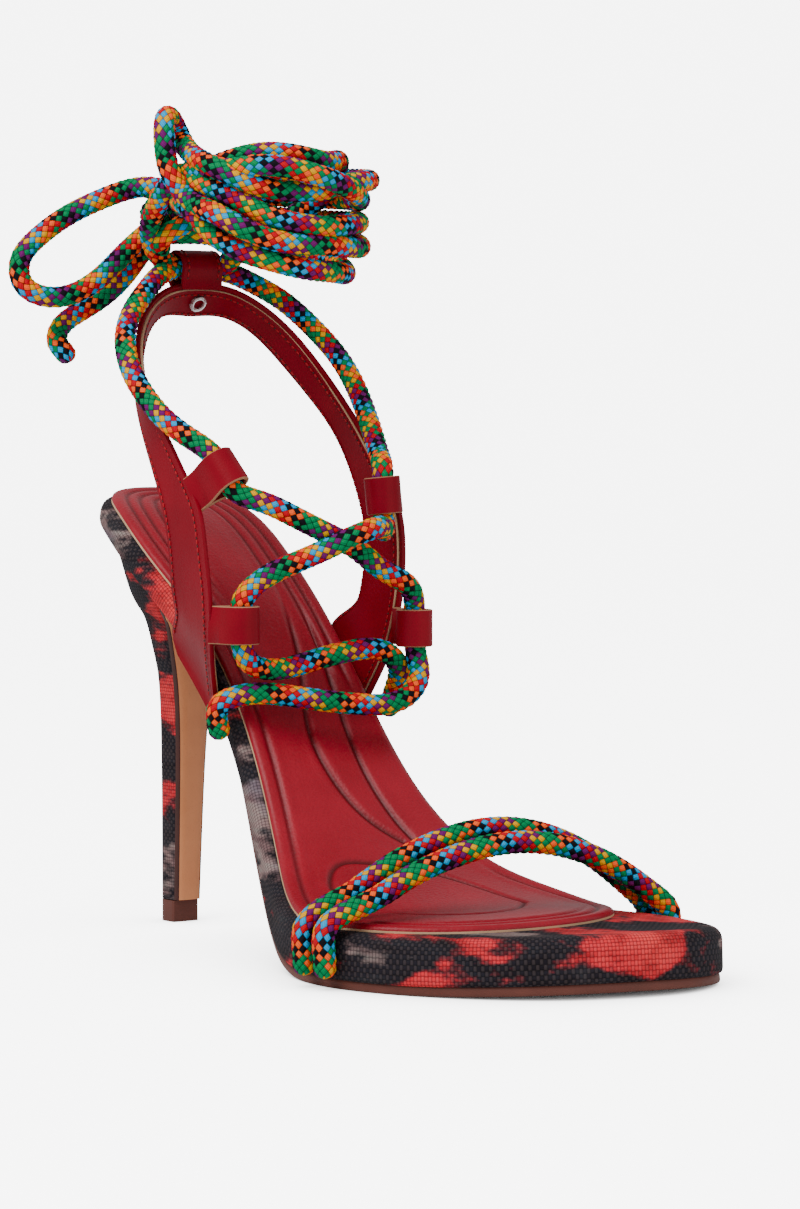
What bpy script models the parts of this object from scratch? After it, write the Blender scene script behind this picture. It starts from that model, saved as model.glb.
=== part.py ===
"""Right-foot stiletto sandal: platform sole, wrapped heel, horseshoe quarter and rope lacing.

Sizes are in millimetres.  X runs from the back of the heel to the toe, Y to the wearer's left
and Z up from the floor.  The near side is the outer one, at minus Y.  The root empty moves the
middle of the shoe to the origin.
"""
import bmesh
import bpy
import numpy as np
from mathutils import Vector

MM = 0.001
GAP = 0.3                    # clearance between pieces that touch

# Driving sizes
FLAT_HEIGHT = 14.0           # top of the board over the flat of the forefoot
FLAT_START = 150.0           # the flat of the forefoot, along the shoe
FLAT_END = 176.0
TOE_X = 212.0
TOE_SPRING = 2.2             # rise of the toe tip
OUTSOLE_THICK = 2.0
OUTSOLE_INSET = 0.8
OUTSOLE_REAR = 0.235         # share of the sole's length behind the outsole
FOREFOOT_THICK = FLAT_HEIGHT - OUTSOLE_THICK - GAP
WAIST_THICK = 6.6            # platform at the arch and seat
BREAK_SKEW = 0.26            # forward sweep of the ball line towards the inner side
SKEW_FROM = 50.0             # the sweep fades in between these stations
SKEW_TO = 120.0
SOCK_THICK = 1.8
ROPE = 6.0                   # rope diameter
LEATHER = 2.0                # quarter with its lining
LOOP_LEATHER = 1.2
LOOP_WIDTH = 10.0
BACK_TAB_WIDTH = 13.0
CENTRE_X = 106.04            # middle of the shoe, moved to the origin
CENTRE_Y = 1.76

SIDE_STEPS = 36              # stations along each side of the sole
RUNGS = 6                    # columns across it

# Top of the board: along the shoe, height
ARCH = [(0, 120.0), (20, 114.3), (40, 101.8), (60, 84.8), (80, 60.8), (100, 37.2),
        (115, 25.0), (130, 18.0), (FLAT_START, FLAT_HEIGHT)]

# Footprint of the platform from heel to toe: along, across
FOOTPRINT_OUTER = [(0, 0), (4, -14), (21, -23.5), (45, -25), (75, -21), (104, -28.5), (129, -40),
                   (150, -43.5), (171, -38), (189, -26.5), (203, -10.5), (210, 7)]
FOOTPRINT_INNER = [(0, 0), (4, 14), (20, 24), (46, 25), (72, 24), (100, 24.5), (131, 34),
                   (159, 44.5), (186, 47), (204, 40), (211.5, 25), (210, 7)]

# Footprint of the sock, which stops well short of the toe: along, across
SOCK_OUTER = [(2.6, 0), (6.3, -12.6), (21.5, -20.9), (45, -22.3), (75, -18.4), (104, -25.6),
              (129, -36.6), (148, -38.6), (163, -33), (174, -21), (179, -6), (179.5, 5)]
SOCK_INNER = [(2.6, 0), (6.3, 12.6), (20.5, 21.3), (46, 22.3), (72, 21.4), (100, 21.9),
              (131, 31), (152, 39), (165, 37), (173, 29), (178, 17), (179.5, 5)]

# Heel sections from seat to tip: back, breast, half width, drop under the seat, level,
# share of the section that follows the seat
HEEL = [(1.2, 40.0, 22.6, 0.0, 104.0, 1.0), (3.6, 37.0, 20.6, 2.5, 100.0, 1.0),
        (8.5, 33.5, 17.0, 8.0, 88.0, 0.5), (13.0, 30.5, 13.0, 13.0, 84.0, 0.2),
        (14.2, 28.2, 9.8, 18.0, 77.0, 0.05), (14.6, 26.4, 7.2, 18.0, 69.0, 0.0),
        (14.5, 25.2, 5.5, 18.0, 56.0, 0.0), (14.3, 24.0, 4.7, 18.0, 35.0, 0.0),
        (14.0, 22.6, 4.2, 18.0, 6.3, 0.0)]
HEEL_RINGS = 25
HEEL_ROUND = 9               # points round each side of the back
HEEL_CORNER = 0.9            # the breast corner is eased by this much
TIP_HEIGHT = 6.0
BREAST_THICK = 1.2
BREAST_TOP = 0.1             # share of the heel above the facing
BREAST_WIDTH = 0.9           # share of the heel's width that the facing covers

# Horseshoe quarter, one side from the sole to the middle of the back.  Distances round the
# plan are counted from the middle of the back: rear edge round, rear edge height,
# front edge round, front edge height, hold against the wall of the platform
QUARTER = [(45.5, 79.5, 62.5, 59.5, 1.0), (51.5, 87.5, 68.5, 74.5, 0.4),
           (53.8, 95.0, 71.8, 93.0, 0.0), (54.2, 105.0, 71.3, 105.0, 0.0),
           (52.3, 114.0, 69.0, 115.5, 0.0), (48.0, 123.5, 62.5, 124.5, 0.0),
           (41.0, 134.8, 53.5, 135.0, 0.0), (32.0, 146.2, 42.5, 146.5, 0.0),
           (24.0, 156.6, 31.5, 159.2, 0.0), (16.0, 165.2, 20.5, 170.1, 0.0),
           (8.0, 168.6, 10.0, 175.8, 0.0), (0.0, 168.5, 0.0, 177.0, 0.0)]
ANKLE_BACK = 29.5            # plan of the quarter: middle of its back, where its legs run straight
ANKLE_STRAIGHT = 60.0
ANKLE_HALF = 32.0
ANKLE_Y = 1.0
ANKLE_LEAN = 6.0             # the lower edge of the back stands out behind the upper by this
LEAN_ROUND = 40.0            # and the lean fades out at this distance round
ANKLE_SQUARENESS = 2.5
QUARTER_STEPS = 73
QUARTER_COLUMNS = 5

# Rope loops on the front edges of the quarter: side, middle of the rope, its direction,
# height of the seat on the front edge
LOOPS = {
    "loop_near_upper": (-1, (80.5, -25.8, 126.0), (0.59, 0.28, -0.76), 120.5),
    "loop_near_lower": (-1, (85.9, -24.0, 86.2), (0.0, 0.0, 1.0), 86.2),
    "loop_far_upper": (1, (85.4, 22.4, 119.6), (-0.35, 0.25, 0.9), 119.6),
    "loop_far_lower": (1, (91.4, 28.3, 84.1), (0.0, 0.0, 1.0), 84.1),
}
# Eyelet section: height off the leather, radius
EYELET = [(0.0, 1.4), (0.0, 2.6), (0.5, 2.4), (0.6, 1.9), (0.5, 1.5)]
# Back tab, a strip folded over the rope with an end on each face of the strap: along, height
TAB_ROPE = (27.6, 181.6)
TAB_REAR_END = (26.2, 175.6)
TAB_FRONT_END = (31.5, 175.6)
TAB_ARC = (205.0, -25.0)     # degrees of the fold round the rope
BORE_CLEAR = 0.7             # from the rope to the inside of a loop

# Lacing A from the near side of the sole to the back tab
LACE_A = [(77.6, -24.6, 55.5), (77.2, -25.6, 59.5), (78.6, -26.2, 64.5), (81.5, -22.5, 67.2),
          (86.0, -14.5, 67.8), (90.2, -5.0, 66.3), (93.8, 8.0, 64.6), (95.6, 16.5, 64.4),
          (95.6, 23.6, 66.8), (94.2, 27.8, 71.6), (91.8, 28.5, 77.6), (91.4, 28.3, 84.1),
          (91.4, 28.3, 90.0), (93.2, 26.0, 94.2), (94.8, 21.0, 97.4), (94.3, 15.5, 100.2),
          (93.4, 8.4, 105.2), (93.2, -1.0, 109.8), (91.2, -10.5, 114.4), (87.6, -18.5, 118.4),
          (83.3, -24.6, 121.7), (80.5, -25.8, 126.0), (77.7, -27.0, 130.3), (72.0, -30.6, 135.0),
          (65.0, -33.9, 140.0), (58.6, -35.2, 145.3), (51.3, -35.4, 152.3), (44.5, -33.3, 160.2),
          (38.4, -27.6, 168.2), (33.0, -18.6, 175.6), (28.6, -10.0, 180.4), (27.6, -5.0, 181.4),
          (27.6, 0.4, 181.4)]
# Lacing B from the far side of the sole to the back tab
LACE_B = [(79.0, 28.0, 59.5), (80.6, 28.2, 63.5), (83.6, 28.0, 68.6), (87.2, 26.0, 73.4),
          (89.0, 22.0, 76.9), (89.2, 16.0, 78.8), (87.6, 8.0, 78.1), (85.8, 0.0, 76.3),
          (84.5, -8.0, 74.4), (84.1, -14.5, 74.2), (84.7, -20.0, 75.8), (85.8, -23.6, 80.4),
          (85.9, -24.0, 86.2), (86.0, -23.8, 92.0), (87.8, -19.8, 97.4), (91.5, -12.6, 101.8),
          (95.4, -5.5, 105.2), (99.0, 2.0, 109.0), (98.4, 9.5, 111.2), (93.4, 16.2, 111.2),
          (88.6, 20.2, 110.6), (85.5, 22.4, 114.4), (85.4, 22.4, 119.6), (85.2, 22.5, 124.6),
          (82.4, 24.2, 127.6), (77.5, 27.0, 129.8), (71.6, 29.6, 134.3), (62.3, 33.0, 142.5),
          (55.3, 34.6, 149.4), (48.2, 34.6, 156.7), (40.9, 33.0, 163.4), (35.4, 30.0, 169.0),
          (32.1, 25.5, 173.5), (29.6, 19.8, 177.0), (28.3, 12.0, 180.2), (27.6, 5.6, 181.4),
          (27.6, -0.4, 181.4)]
LACE_STEP = 4.8

# Ropes over the toes: along at the near foot, along at the far foot, height of the arch
TOE_ROPES = {"toe_rope_rear": (147.0, 164.0, 37.0), "toe_rope_front": (155.0, 171.5, 34.0)}
TOE_ROPE_FOOT = 2.8
TOE_ROPE_SKEW = 1.15         # moves the top of the arch towards the far side
TOE_ROPE_SHOULDER = 14.0     # height to which a rope runs straight up the wall

# Wound ankle tie over the back tab
COIL_X = 60.0
COIL_Y = 3.2
COIL_OUTER = 31.5
COIL_INNER = 21.5
COIL_LOW = 180.2             # middle of the coil's lower rim, and its fall to the far front
COIL_FALL = 6.3
COIL_TURN = 0.35
COIL_HIGH = 212.5
COIL_STEPS = 40
KNOT = (22.6, -4.0, 199.5)
KNOT_SIZE = (6.4, 8.0, 7.5)
BOW_LOOP = [(19.4, -12.2, 203.4), (16.0, -21.0, 201.0), (12.6, -31.0, 196.5), (9.8, -39.5, 190.0),
            (8.4, -44.6, 182.6), (9.4, -43.4, 176.4), (12.0, -37.4, 173.6), (14.6, -29.6, 174.6),
            (16.6, -22.6, 179.6), (18.2, -16.6, 186.4), (19.6, -11.6, 191.6)]
TIE_END = [(16.2, -4.6, 194.6), (11.4, -7.6, 188.6), (6.6, -13.6, 180.2), (2.8, -20.6, 172.2),
           (-0.6, -26.4, 167.0), (-3.2, -28.0, 162.4), (-1.4, -23.8, 159.2), (1.6, -19.6, 156.4)]

# Colour, roughness and metallic value of each piece
FINISH = {
    "leather": ((0.32, 0.02, 0.025, 1), 0.5, 0.0),
    "sock": ((0.36, 0.02, 0.025, 1), 0.45, 0.0),
    "print": ((0.16, 0.10, 0.09, 1), 0.85, 0.0),
    "tan": ((0.50, 0.30, 0.17, 1), 0.5, 0.0),
    "brown": ((0.16, 0.07, 0.045, 1), 0.6, 0.0),
    "rope": ((0.22, 0.16, 0.08, 1), 0.8, 0.0),
    "metal": ((0.75, 0.75, 0.74, 1), 0.25, 1.0),
}


def clear_scene():
    """Take every object out of the scene."""
    for obj in list(bpy.data.objects):
        bpy.data.objects.remove(obj, do_unlink=True)


def cubic(knots, rows, end_slope=None):
    """Return the smooth curve through the rows; its last end is free unless a slope is given."""
    knots = np.asarray(knots, float)
    rows = np.asarray(rows, float)
    shape = rows.shape[1:]
    rows = rows.reshape(len(knots), -1)
    count = len(knots)
    step = np.diff(knots)
    slope = np.diff(rows, axis=0) / step[:, None]
    system = np.eye(count)
    right = np.zeros_like(rows)
    for i in range(1, count - 1):
        system[i, i - 1:i + 2] = step[i - 1], 2 * (step[i - 1] + step[i]), step[i]
        right[i] = 6 * (slope[i] - slope[i - 1])
    if end_slope is not None:
        system[-1, -2:] = step[-1], 2 * step[-1]
        right[-1] = 6 * (end_slope - slope[-1])
    bend = np.linalg.solve(system, right)

    def at(where):
        where = np.asarray(where, float)
        i = np.clip(np.searchsorted(knots, where) - 1, 0, count - 2)
        before = (where - knots[i])[..., None]
        after = (knots[i + 1] - where)[..., None]
        h = step[i][..., None]
        value = (bend[i] * after ** 3 + bend[i + 1] * before ** 3) / (6 * h)
        value = value + (rows[i] / h - bend[i] * h / 6) * after
        value = value + (rows[i + 1] / h - bend[i + 1] * h / 6) * before
        return value.reshape(where.shape + shape)

    return at


def run_of(points):
    """Distance along a row of points."""
    points = np.asarray(points, float)
    return np.concatenate([[0], np.cumsum(np.linalg.norm(np.diff(points, axis=0), axis=1))])


def smooth(points, count):
    """Evenly spaced points on a smooth curve through the given ones."""
    points = np.asarray(points, float)
    knots = run_of(points)
    fine = cubic(knots, points)(np.linspace(0, knots[-1], 40 * len(points)))
    along = run_of(fine)
    want = np.linspace(0, along[-1], count)
    return np.stack([np.interp(want, along, fine[:, k]) for k in range(fine.shape[1])], axis=1)


def ease(value, low, high):
    """Soft step from 0 at low to 1 at high."""
    t = np.clip((np.asarray(value, float) - low) / (high - low), 0, 1)
    return t * t * (3 - 2 * t)


arch_curve = cubic([u for u, _ in ARCH], [z for _, z in ARCH], end_slope=0.0)


def station(x, y):
    """Distance along the shoe at which a point bends with the ball line."""
    return np.clip(x - BREAK_SKEW * ease(x, SKEW_FROM, SKEW_TO) * y, 0, None)


def board_height(x, y):
    """Height of the top of the board."""
    u = station(x, y)
    rear = arch_curve(np.minimum(u, FLAT_START))
    toe = TOE_SPRING * (np.maximum(u - FLAT_END, 0) / (TOE_X - FLAT_END)) ** 2
    return np.where(u < FLAT_START, rear, FLAT_HEIGHT + toe)


def board_thick(x, y):
    """Thickness of the platform, thin at the arch and seat."""
    return WAIST_THICK + (FOREFOOT_THICK - WAIST_THICK) * ease(station(x, y), 85, 140)


def on_board(x, y, depth):
    """Points at a depth under the top of the board, measured square to it."""
    x = np.asarray(x, float)
    y = np.asarray(y, float)
    d = 0.05
    sx = (board_height(x + d, y) - board_height(x - d, y)) / (2 * d)
    sy = (board_height(x, y + d) - board_height(x, y - d)) / (2 * d)
    n = np.sqrt(1 + sx ** 2 + sy ** 2)
    return np.stack([x + sx / n * depth, y + sy / n * depth, board_height(x, y) - depth / n], axis=-1)


def sides_of(outer, inner, inset=0.0, rear=0.0):
    """The two sides of a footprint from heel to toe, drawn in by an inset.

    A rear above 0 leaves off that share of the length behind.
    """
    points = outer + inner[-2::-1]
    wrapped = np.array(inner[4:0:-1] + points + outer[1:5], float)
    knots = run_of(wrapped)
    curve = cubic(knots, wrapped)
    heel, toe, back = knots[4], knots[4 + len(outer) - 1], knots[4 + len(points) - 1]
    steps = 4 * SIDE_STEPS
    a = curve(np.linspace(heel, toe, steps + 1))
    b = curve(np.linspace(back, toe, steps + 1))
    loop = np.concatenate([a, b[-2:0:-1]])
    run = np.roll(loop, -1, axis=0) - np.roll(loop, 1, axis=0)
    run = run / np.linalg.norm(run, axis=1)[:, None]
    loop = loop + inset * np.stack([-run[:, 1], run[:, 0]], axis=1)
    a = loop[:len(a)]
    b = np.concatenate([loop[:1], loop[:len(a) - 2:-1]])
    share = np.linspace(rear, 1, SIDE_STEPS + 1) * (len(a) - 1)
    pick = np.arange(len(a))
    return [np.stack([np.interp(share, pick, s[:, k]) for k in (0, 1)], axis=1) for s in (a, b)]


def wall(side, x):
    """Distance of the platform's wall from the middle, at a place along one side."""
    half = sides_of(FOOTPRINT_OUTER, FOOTPRINT_INNER)[0 if side < 0 else 1]
    return float(np.interp(x, half[:, 0], np.abs(half[:, 1])))


def add(name, data, finish):
    """Put a named object in the scene under the root, with its finish."""
    obj = bpy.data.objects.new(name, data)
    bpy.context.collection.objects.link(obj)
    obj.parent = root
    data.materials.append(materials[finish])
    return obj


def add_mesh(name, mesh, finish, sharp=40):
    """Make an object from a bmesh, with its faces pointing out."""
    bmesh.ops.remove_doubles(mesh, verts=mesh.verts, dist=0.01 * MM)
    bmesh.ops.dissolve_degenerate(mesh, edges=mesh.edges, dist=0.005 * MM)
    bmesh.ops.recalc_face_normals(mesh, faces=mesh.faces)
    data = bpy.data.meshes.new(name)
    mesh.to_mesh(data)
    mesh.free()
    data.shade_smooth()
    data.set_sharp_from_angle(angle=np.radians(sharp))
    return add(name, data, finish)


def stack(name, finish, levels, caps):
    """Closed solid through levels, each with two sides; caps give the rungs of both ends."""
    mesh = bmesh.new()

    def vert(p):
        return mesh.verts.new(Vector(p) * MM)

    rings = [([vert(p) for p in one], [vert(p) for p in two]) for one, two in levels]
    ends = [[[a[0], b[0]], [a[-1], b[-1]]] for a, b in rings]
    for place, inside in ((0, caps[0]), (-1, caps[1])):
        a, b = rings[place]
        rows = [[a[i]] + [vert(p) for p in inside[i]] + [b[i]] for i in range(len(a))]
        ends[place] = [rows[0], rows[-1]]
        for r, s in zip(rows, rows[1:]):
            for k in range(len(r) - 1):
                mesh.faces.new((r[k], r[k + 1], s[k + 1], s[k]))
    for (a, b), (c, d) in zip(rings, rings[1:]):
        for i in range(len(a) - 1):
            mesh.faces.new((a[i], a[i + 1], c[i + 1], c[i]))
            mesh.faces.new((b[i], d[i], d[i + 1], b[i + 1]))
    for upper, lower in zip(ends, ends[1:]):
        for one, two in zip(upper, lower):
            mesh.faces.new(one + two[::-1])
    return add_mesh(name, mesh, finish)


def between(p, q):
    """Inner points of a rung from one side to the other."""
    return p + (q - p) * np.linspace(0, 1, RUNGS + 1)[1:-1, None]


def slab(name, finish, outer, inner, layers, rear=0.0):
    """Solid that follows the sole; layers are rows of inset, share of thickness, added depth."""

    def lay(plan, share, extra):
        x, y = plan[:, 0], plan[:, 1]
        return on_board(x, y, share * board_thick(x, y) + extra)

    levels = [[lay(s, share, extra) for s in sides_of(outer, inner, inset, rear)]
              for inset, share, extra in layers]
    caps = []
    for inset, share, extra in (layers[0], layers[-1]):
        one, two = sides_of(outer, inner, inset, rear)
        caps.append([lay(between(p, q), share, extra) for p, q in zip(one, two)])
    return stack(name, finish, levels, caps)


def make_sole():
    """Platform, outsole and sock."""
    slab("platform", "print", FOOTPRINT_OUTER, FOOTPRINT_INNER,
         [(3.0, 0.0, 0.0), (1.2, 0.0, 0.35), (0.3, 0.0, 1.3), (0.0, 0.0, 2.6),
          (0.0, 1.0, -1.2), (0.4, 1.0, -0.3), (1.2, 1.0, 0.0)])
    top = GAP
    bottom = GAP + OUTSOLE_THICK
    slab("outsole", "brown", FOOTPRINT_OUTER, FOOTPRINT_INNER,
         [(OUTSOLE_INSET + 0.3, 1.0, top), (OUTSOLE_INSET, 1.0, top + 0.3),
          (OUTSOLE_INSET, 1.0, bottom - 0.5), (OUTSOLE_INSET + 0.6, 1.0, bottom)], OUTSOLE_REAR)
    slab("insole_sock", "sock", SOCK_OUTER, SOCK_INNER,
         [(2.0, 0.0, -GAP - SOCK_THICK), (0.7, 0.0, -GAP - 0.85 * SOCK_THICK),
          (0.0, 0.0, -GAP - 0.5 * SOCK_THICK), (0.0, 0.0, -GAP)])


heel_curve = cubic(np.linspace(0, 1, len(HEEL)), HEEL)


def seat_under(x, y):
    """Height of the seat's underside, less the clearance."""
    d = 0.05
    slope = (board_height(x + d, y) - board_height(x - d, y)) / (2 * d)
    return board_height(x, y) - (board_thick(x, y) + GAP) * np.sqrt(1 + slope ** 2)


def heel_height(share, x, y):
    """Height of a heel section; near the seat it lies along the seat, lower down it is level."""
    drop, level, follow = heel_curve(share)[3:]
    follow = np.clip(follow, 0, 1)
    return follow * (seat_under(x, y) - drop) + (1 - follow) * level


def heel_plan(back, breast, half):
    """Half of a D-shaped section from the middle of its back to its breast corner."""
    deep = min(half, 0.62 * (breast - back))
    turn = np.linspace(0, np.pi / 2, HEEL_ROUND)
    x = np.concatenate([back + deep * (1 - np.cos(turn)), [breast - HEEL_CORNER, breast]])
    y = np.concatenate([half * np.sin(turn), [0.985 * half, 0.93 * half]])
    return x, y


def make_heel():
    """Wrapped heel block, the facing on its breast and its tip."""
    levels = []
    for share in np.linspace(0, 1, HEEL_RINGS):
        back, breast, half = heel_curve(share)[:3]
        x, y = heel_plan(back, breast, half)
        levels.append([np.stack([x, s * y, heel_height(share, x, s * y)], axis=1) for s in (-1, 1)])
    caps = [[between(p, q) for p, q in zip(*pair)] for pair in (levels[0], levels[-1])]
    stack("heel", "print", levels, caps)

    shares = np.linspace(BREAST_TOP, 1, HEEL_RINGS)
    front = np.array([[heel_curve(s)[1], heel_height(s, heel_curve(s)[1], 0.0)] for s in shares])
    run = np.gradient(front, axis=0)
    run = run / np.linalg.norm(run, axis=1)[:, None]
    ahead = np.stack([-run[:, 1], run[:, 0]], axis=1)
    levels = []
    for s, at, out in zip(shares, front, ahead):
        half = BREAST_WIDTH * heel_curve(s)[2]
        near = at + GAP * out
        far = at + (GAP + BREAST_THICK) * out
        levels.append([[(p[0], side * half, p[1]) for p in (near, far)] for side in (-1, 1)])
    caps = [[between(np.array(p), np.array(q)) for p, q in zip(*pair)]
            for pair in (levels[0], levels[-1])]
    stack("heel_breast", "tan", levels, caps)

    x, y = heel_plan(*HEEL[-1][:3])
    levels = [[np.stack([x, s * y, np.full_like(x, z)], axis=1) for s in (-1, 1)]
              for z in (TIP_HEIGHT, 0.0)]
    caps = [[between(p, q) for p, q in zip(*pair)] for pair in levels]
    stack("heel_tip", "brown", levels, caps)


def ankle_plan():
    """Plan of the quarter's half from the middle of the back: distance round, along, across."""
    reach = ANKLE_STRAIGHT - ANKLE_BACK
    turn = np.linspace(0, np.pi / 2, 400)
    power = 2 / ANKLE_SQUARENESS
    x = ANKLE_STRAIGHT - reach * np.cos(turn) ** power
    y = ANKLE_HALF * np.sin(turn) ** power
    x = np.append(x, ANKLE_STRAIGHT + 40)
    y = np.append(y, ANKLE_HALF)
    return run_of(np.stack([x, y], axis=1)), x, y


ankle_round, ankle_x, ankle_y = ankle_plan()


def quarter_point(around, height, hold, lean):
    """Place on the middle of the quarter's leather; minus is the near side."""
    side = -1 if around < 0 else 1
    x = np.interp(abs(around), ankle_round, ankle_x)
    y = np.interp(abs(around), ankle_round, ankle_y)
    held = max(wall(side, x + reach) for reach in (0, 4, 8)) + GAP + LEATHER / 2
    x = x - lean * (1 - ease(abs(around), 0, LEAN_ROUND))
    return np.array([x, (1 - hold) * (side * y + ANKLE_Y) + hold * side * held, height])


def quarter_rows():
    """Edges of the quarter from the near side of the sole round the back to the far side."""
    near = [(-a, b, -c, d, h) for a, b, c, d, h in QUARTER]
    rows = np.array(near + QUARTER[-2::-1])
    return smooth(rows, QUARTER_STEPS)


def quarter_grid():
    """Middle surface of the quarter: stations by columns."""
    grid = []
    for rear_round, rear_z, front_round, front_z, hold in quarter_rows():
        row = []
        for t in np.linspace(0, 1, QUARTER_COLUMNS):
            around = rear_round + t * (front_round - rear_round)
            height = rear_z + t * (front_z - rear_z)
            row.append(quarter_point(around, height, np.clip(hold, 0, 1), (1 - t) * ANKLE_LEAN))
        grid.append(row)
    return np.array(grid)


def sheet(name, finish, grid, thick):
    """Closed wall of even thickness on both sides of a grid of points."""
    along = np.gradient(grid, axis=0)
    across = np.gradient(grid, axis=1)
    normal = np.cross(along, across)
    normal = normal / np.linalg.norm(normal, axis=2)[:, :, None]
    mesh = bmesh.new()
    faces = []
    for sign in (-0.5, 0.5):
        points = grid + sign * thick * normal
        faces.append([[mesh.verts.new(Vector(p) * MM) for p in row] for row in points])
    rows, columns = grid.shape[:2]
    for skin in faces:
        for i in range(rows - 1):
            for j in range(columns - 1):
                mesh.faces.new((skin[i][j], skin[i + 1][j], skin[i + 1][j + 1], skin[i][j + 1]))
    one, two = faces
    rim = [(i, 0) for i in range(rows)] + [(rows - 1, j) for j in range(1, columns)]
    rim += [(i, columns - 1) for i in range(rows - 2, -1, -1)] + [(0, j) for j in range(columns - 2, 0, -1)]
    for (i, j), (k, m) in zip(rim, rim[1:] + rim[:1]):
        mesh.faces.new((one[i][j], one[k][m], two[k][m], two[i][j]))
    return add_mesh(name, mesh, finish)


def front_edge(grid, side, height):
    """Point on the quarter's front edge at a height on one side."""
    edge = grid[:, -1]
    half = edge[:len(edge) // 2] if side < 0 else edge[:len(edge) // 2:-1]
    return np.array([np.interp(height, half[:, 2], half[:, k]) for k in range(3)])


def band(name, finish, middle, ahead, axis, tails):
    """Leather loop: a strip folded round a bore, its two ends closed together behind.

    Tails are the reach behind the bore's middle at both ends of the width.
    """
    ahead = Vector(ahead).normalized()
    axis = Vector(axis)
    axis = (axis - axis.dot(ahead) * ahead).normalized()
    out = axis.cross(ahead)
    bore = ROPE / 2 + BORE_CLEAR
    turn = np.radians(np.linspace(-112, 112, 15))

    def ring(radius, end, half):
        points = [(radius * np.cos(t), radius * np.sin(t)) for t in turn]
        return [(float(a), float(b)) for a, b in points + [(-end, half), (-end, -half)]]

    outer = [ring(bore + LOOP_LEATHER, tail, LOOP_LEATHER) for tail in tails]
    inner = ring(bore, 1.35 * bore, 0.35 * bore)
    mesh = bmesh.new()

    def loop(points, shift):
        return [mesh.verts.new((Vector(middle) + a * ahead + b * out + shift * axis) * MM)
                for a, b in points]

    low = [loop(points, -LOOP_WIDTH / 2) for points in (outer[0], inner)]
    high = [loop(points, LOOP_WIDTH / 2) for points in (outer[1], inner)]
    count = len(inner)
    for i in range(count):
        k = (i + 1) % count
        mesh.faces.new((low[0][i], low[0][k], high[0][k], high[0][i]))
        mesh.faces.new((low[1][k], low[1][i], high[1][i], high[1][k]))
        mesh.faces.new((low[0][k], low[0][i], low[1][i], low[1][k]))
        mesh.faces.new((high[0][i], high[0][k], high[1][k], high[1][i]))
    return add_mesh(name, mesh, finish)


def make_upper():
    """Quarter with its rope loops, back tab and eyelet."""
    grid = quarter_grid()
    sheet("quarter", "leather", grid, LEATHER)
    for name, (side, middle, axis, height) in LOOPS.items():
        ahead = np.array(middle) - front_edge(grid, side, height)
        ahead = ahead / np.linalg.norm(ahead)
        rise = LOOP_WIDTH / 2 * np.sign(axis[2])
        tails = [(np.array(middle) - front_edge(grid, side, height + end)) @ ahead - 5 * GAP
                 for end in (-rise, rise)]
        band(name, "leather", middle, ahead, axis, tails)
    fold = ROPE / 2 + BORE_CLEAR + LOOP_LEATHER / 2
    turn = np.radians(np.linspace(*TAB_ARC, 12))
    path = [(TAB_ROPE[0] + fold * np.cos(t), TAB_ROPE[1] + fold * np.sin(t)) for t in turn]
    path = smooth([TAB_REAR_END] + path + [TAB_FRONT_END], 22)
    half = BACK_TAB_WIDTH / 2
    tab = np.array([[(x, y, z) for y in (-half, 0.0, half)] for x, z in path])
    sheet("back_tab", "leather", tab, LOOP_LEATHER)
    back = grid[QUARTER_STEPS // 2]
    middle = back[QUARTER_COLUMNS // 2]
    up = back[-1] - back[0]
    up = up / np.linalg.norm(up)
    face = np.array([up[2], 0.0, -up[0]])
    aside = np.array([0.0, 1.0, 0.0])
    mesh = bmesh.new()
    rows = []
    for lift, radius in EYELET:
        place = middle + (LEATHER / 2 + 2 * GAP + lift) * face
        spokes = [np.cos(t) * up + np.sin(t) * aside for t in np.linspace(0, 2 * np.pi, 20, endpoint=False)]
        rows.append([mesh.verts.new(Vector(place + radius * spoke) * MM) for spoke in spokes])
    for r, s in zip(rows, rows[1:] + rows[:1]):
        for i in range(len(r)):
            k = (i + 1) % len(r)
            mesh.faces.new((r[i], r[k], s[k], s[i]))
    add_mesh("eyelet", mesh, "metal")


def tube(name, route, step, finish="rope"):
    """Rope along a smooth route, as a bevelled curve with closed ends."""
    count = int(run_of(smooth(route, 200))[-1] / step) + 1
    data = bpy.data.curves.new(name, "CURVE")
    data.dimensions = "3D"
    data.bevel_depth = ROPE / 2 * MM
    data.bevel_resolution = 2
    data.use_fill_caps = True
    spline = data.splines.new("POLY")
    points = smooth(route, count)
    spline.points.add(len(points) - 1)
    for place, p in zip(spline.points, points):
        place.co = (*(Vector(p) * MM), 1)
    return add(name, data, finish)


def as_mesh(obj):
    """Replace a curve object by a mesh object of the same shape."""
    name = obj.name
    finish = obj.data.materials[0]
    mesh = bpy.data.meshes.new_from_object(obj)
    curve = obj.data
    bpy.data.objects.remove(obj, do_unlink=True)
    bpy.data.curves.remove(curve)
    mesh.materials.clear()
    shape = bmesh.new()
    shape.from_mesh(mesh)
    bmesh.ops.remove_doubles(shape, verts=shape.verts, dist=0.01 * MM)
    bmesh.ops.recalc_face_normals(shape, faces=shape.faces)
    shape.to_mesh(mesh)
    shape.free()
    new = bpy.data.objects.new(name, mesh)
    bpy.context.collection.objects.link(new)
    new.parent = root
    mesh.materials.append(finish)
    return new


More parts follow.
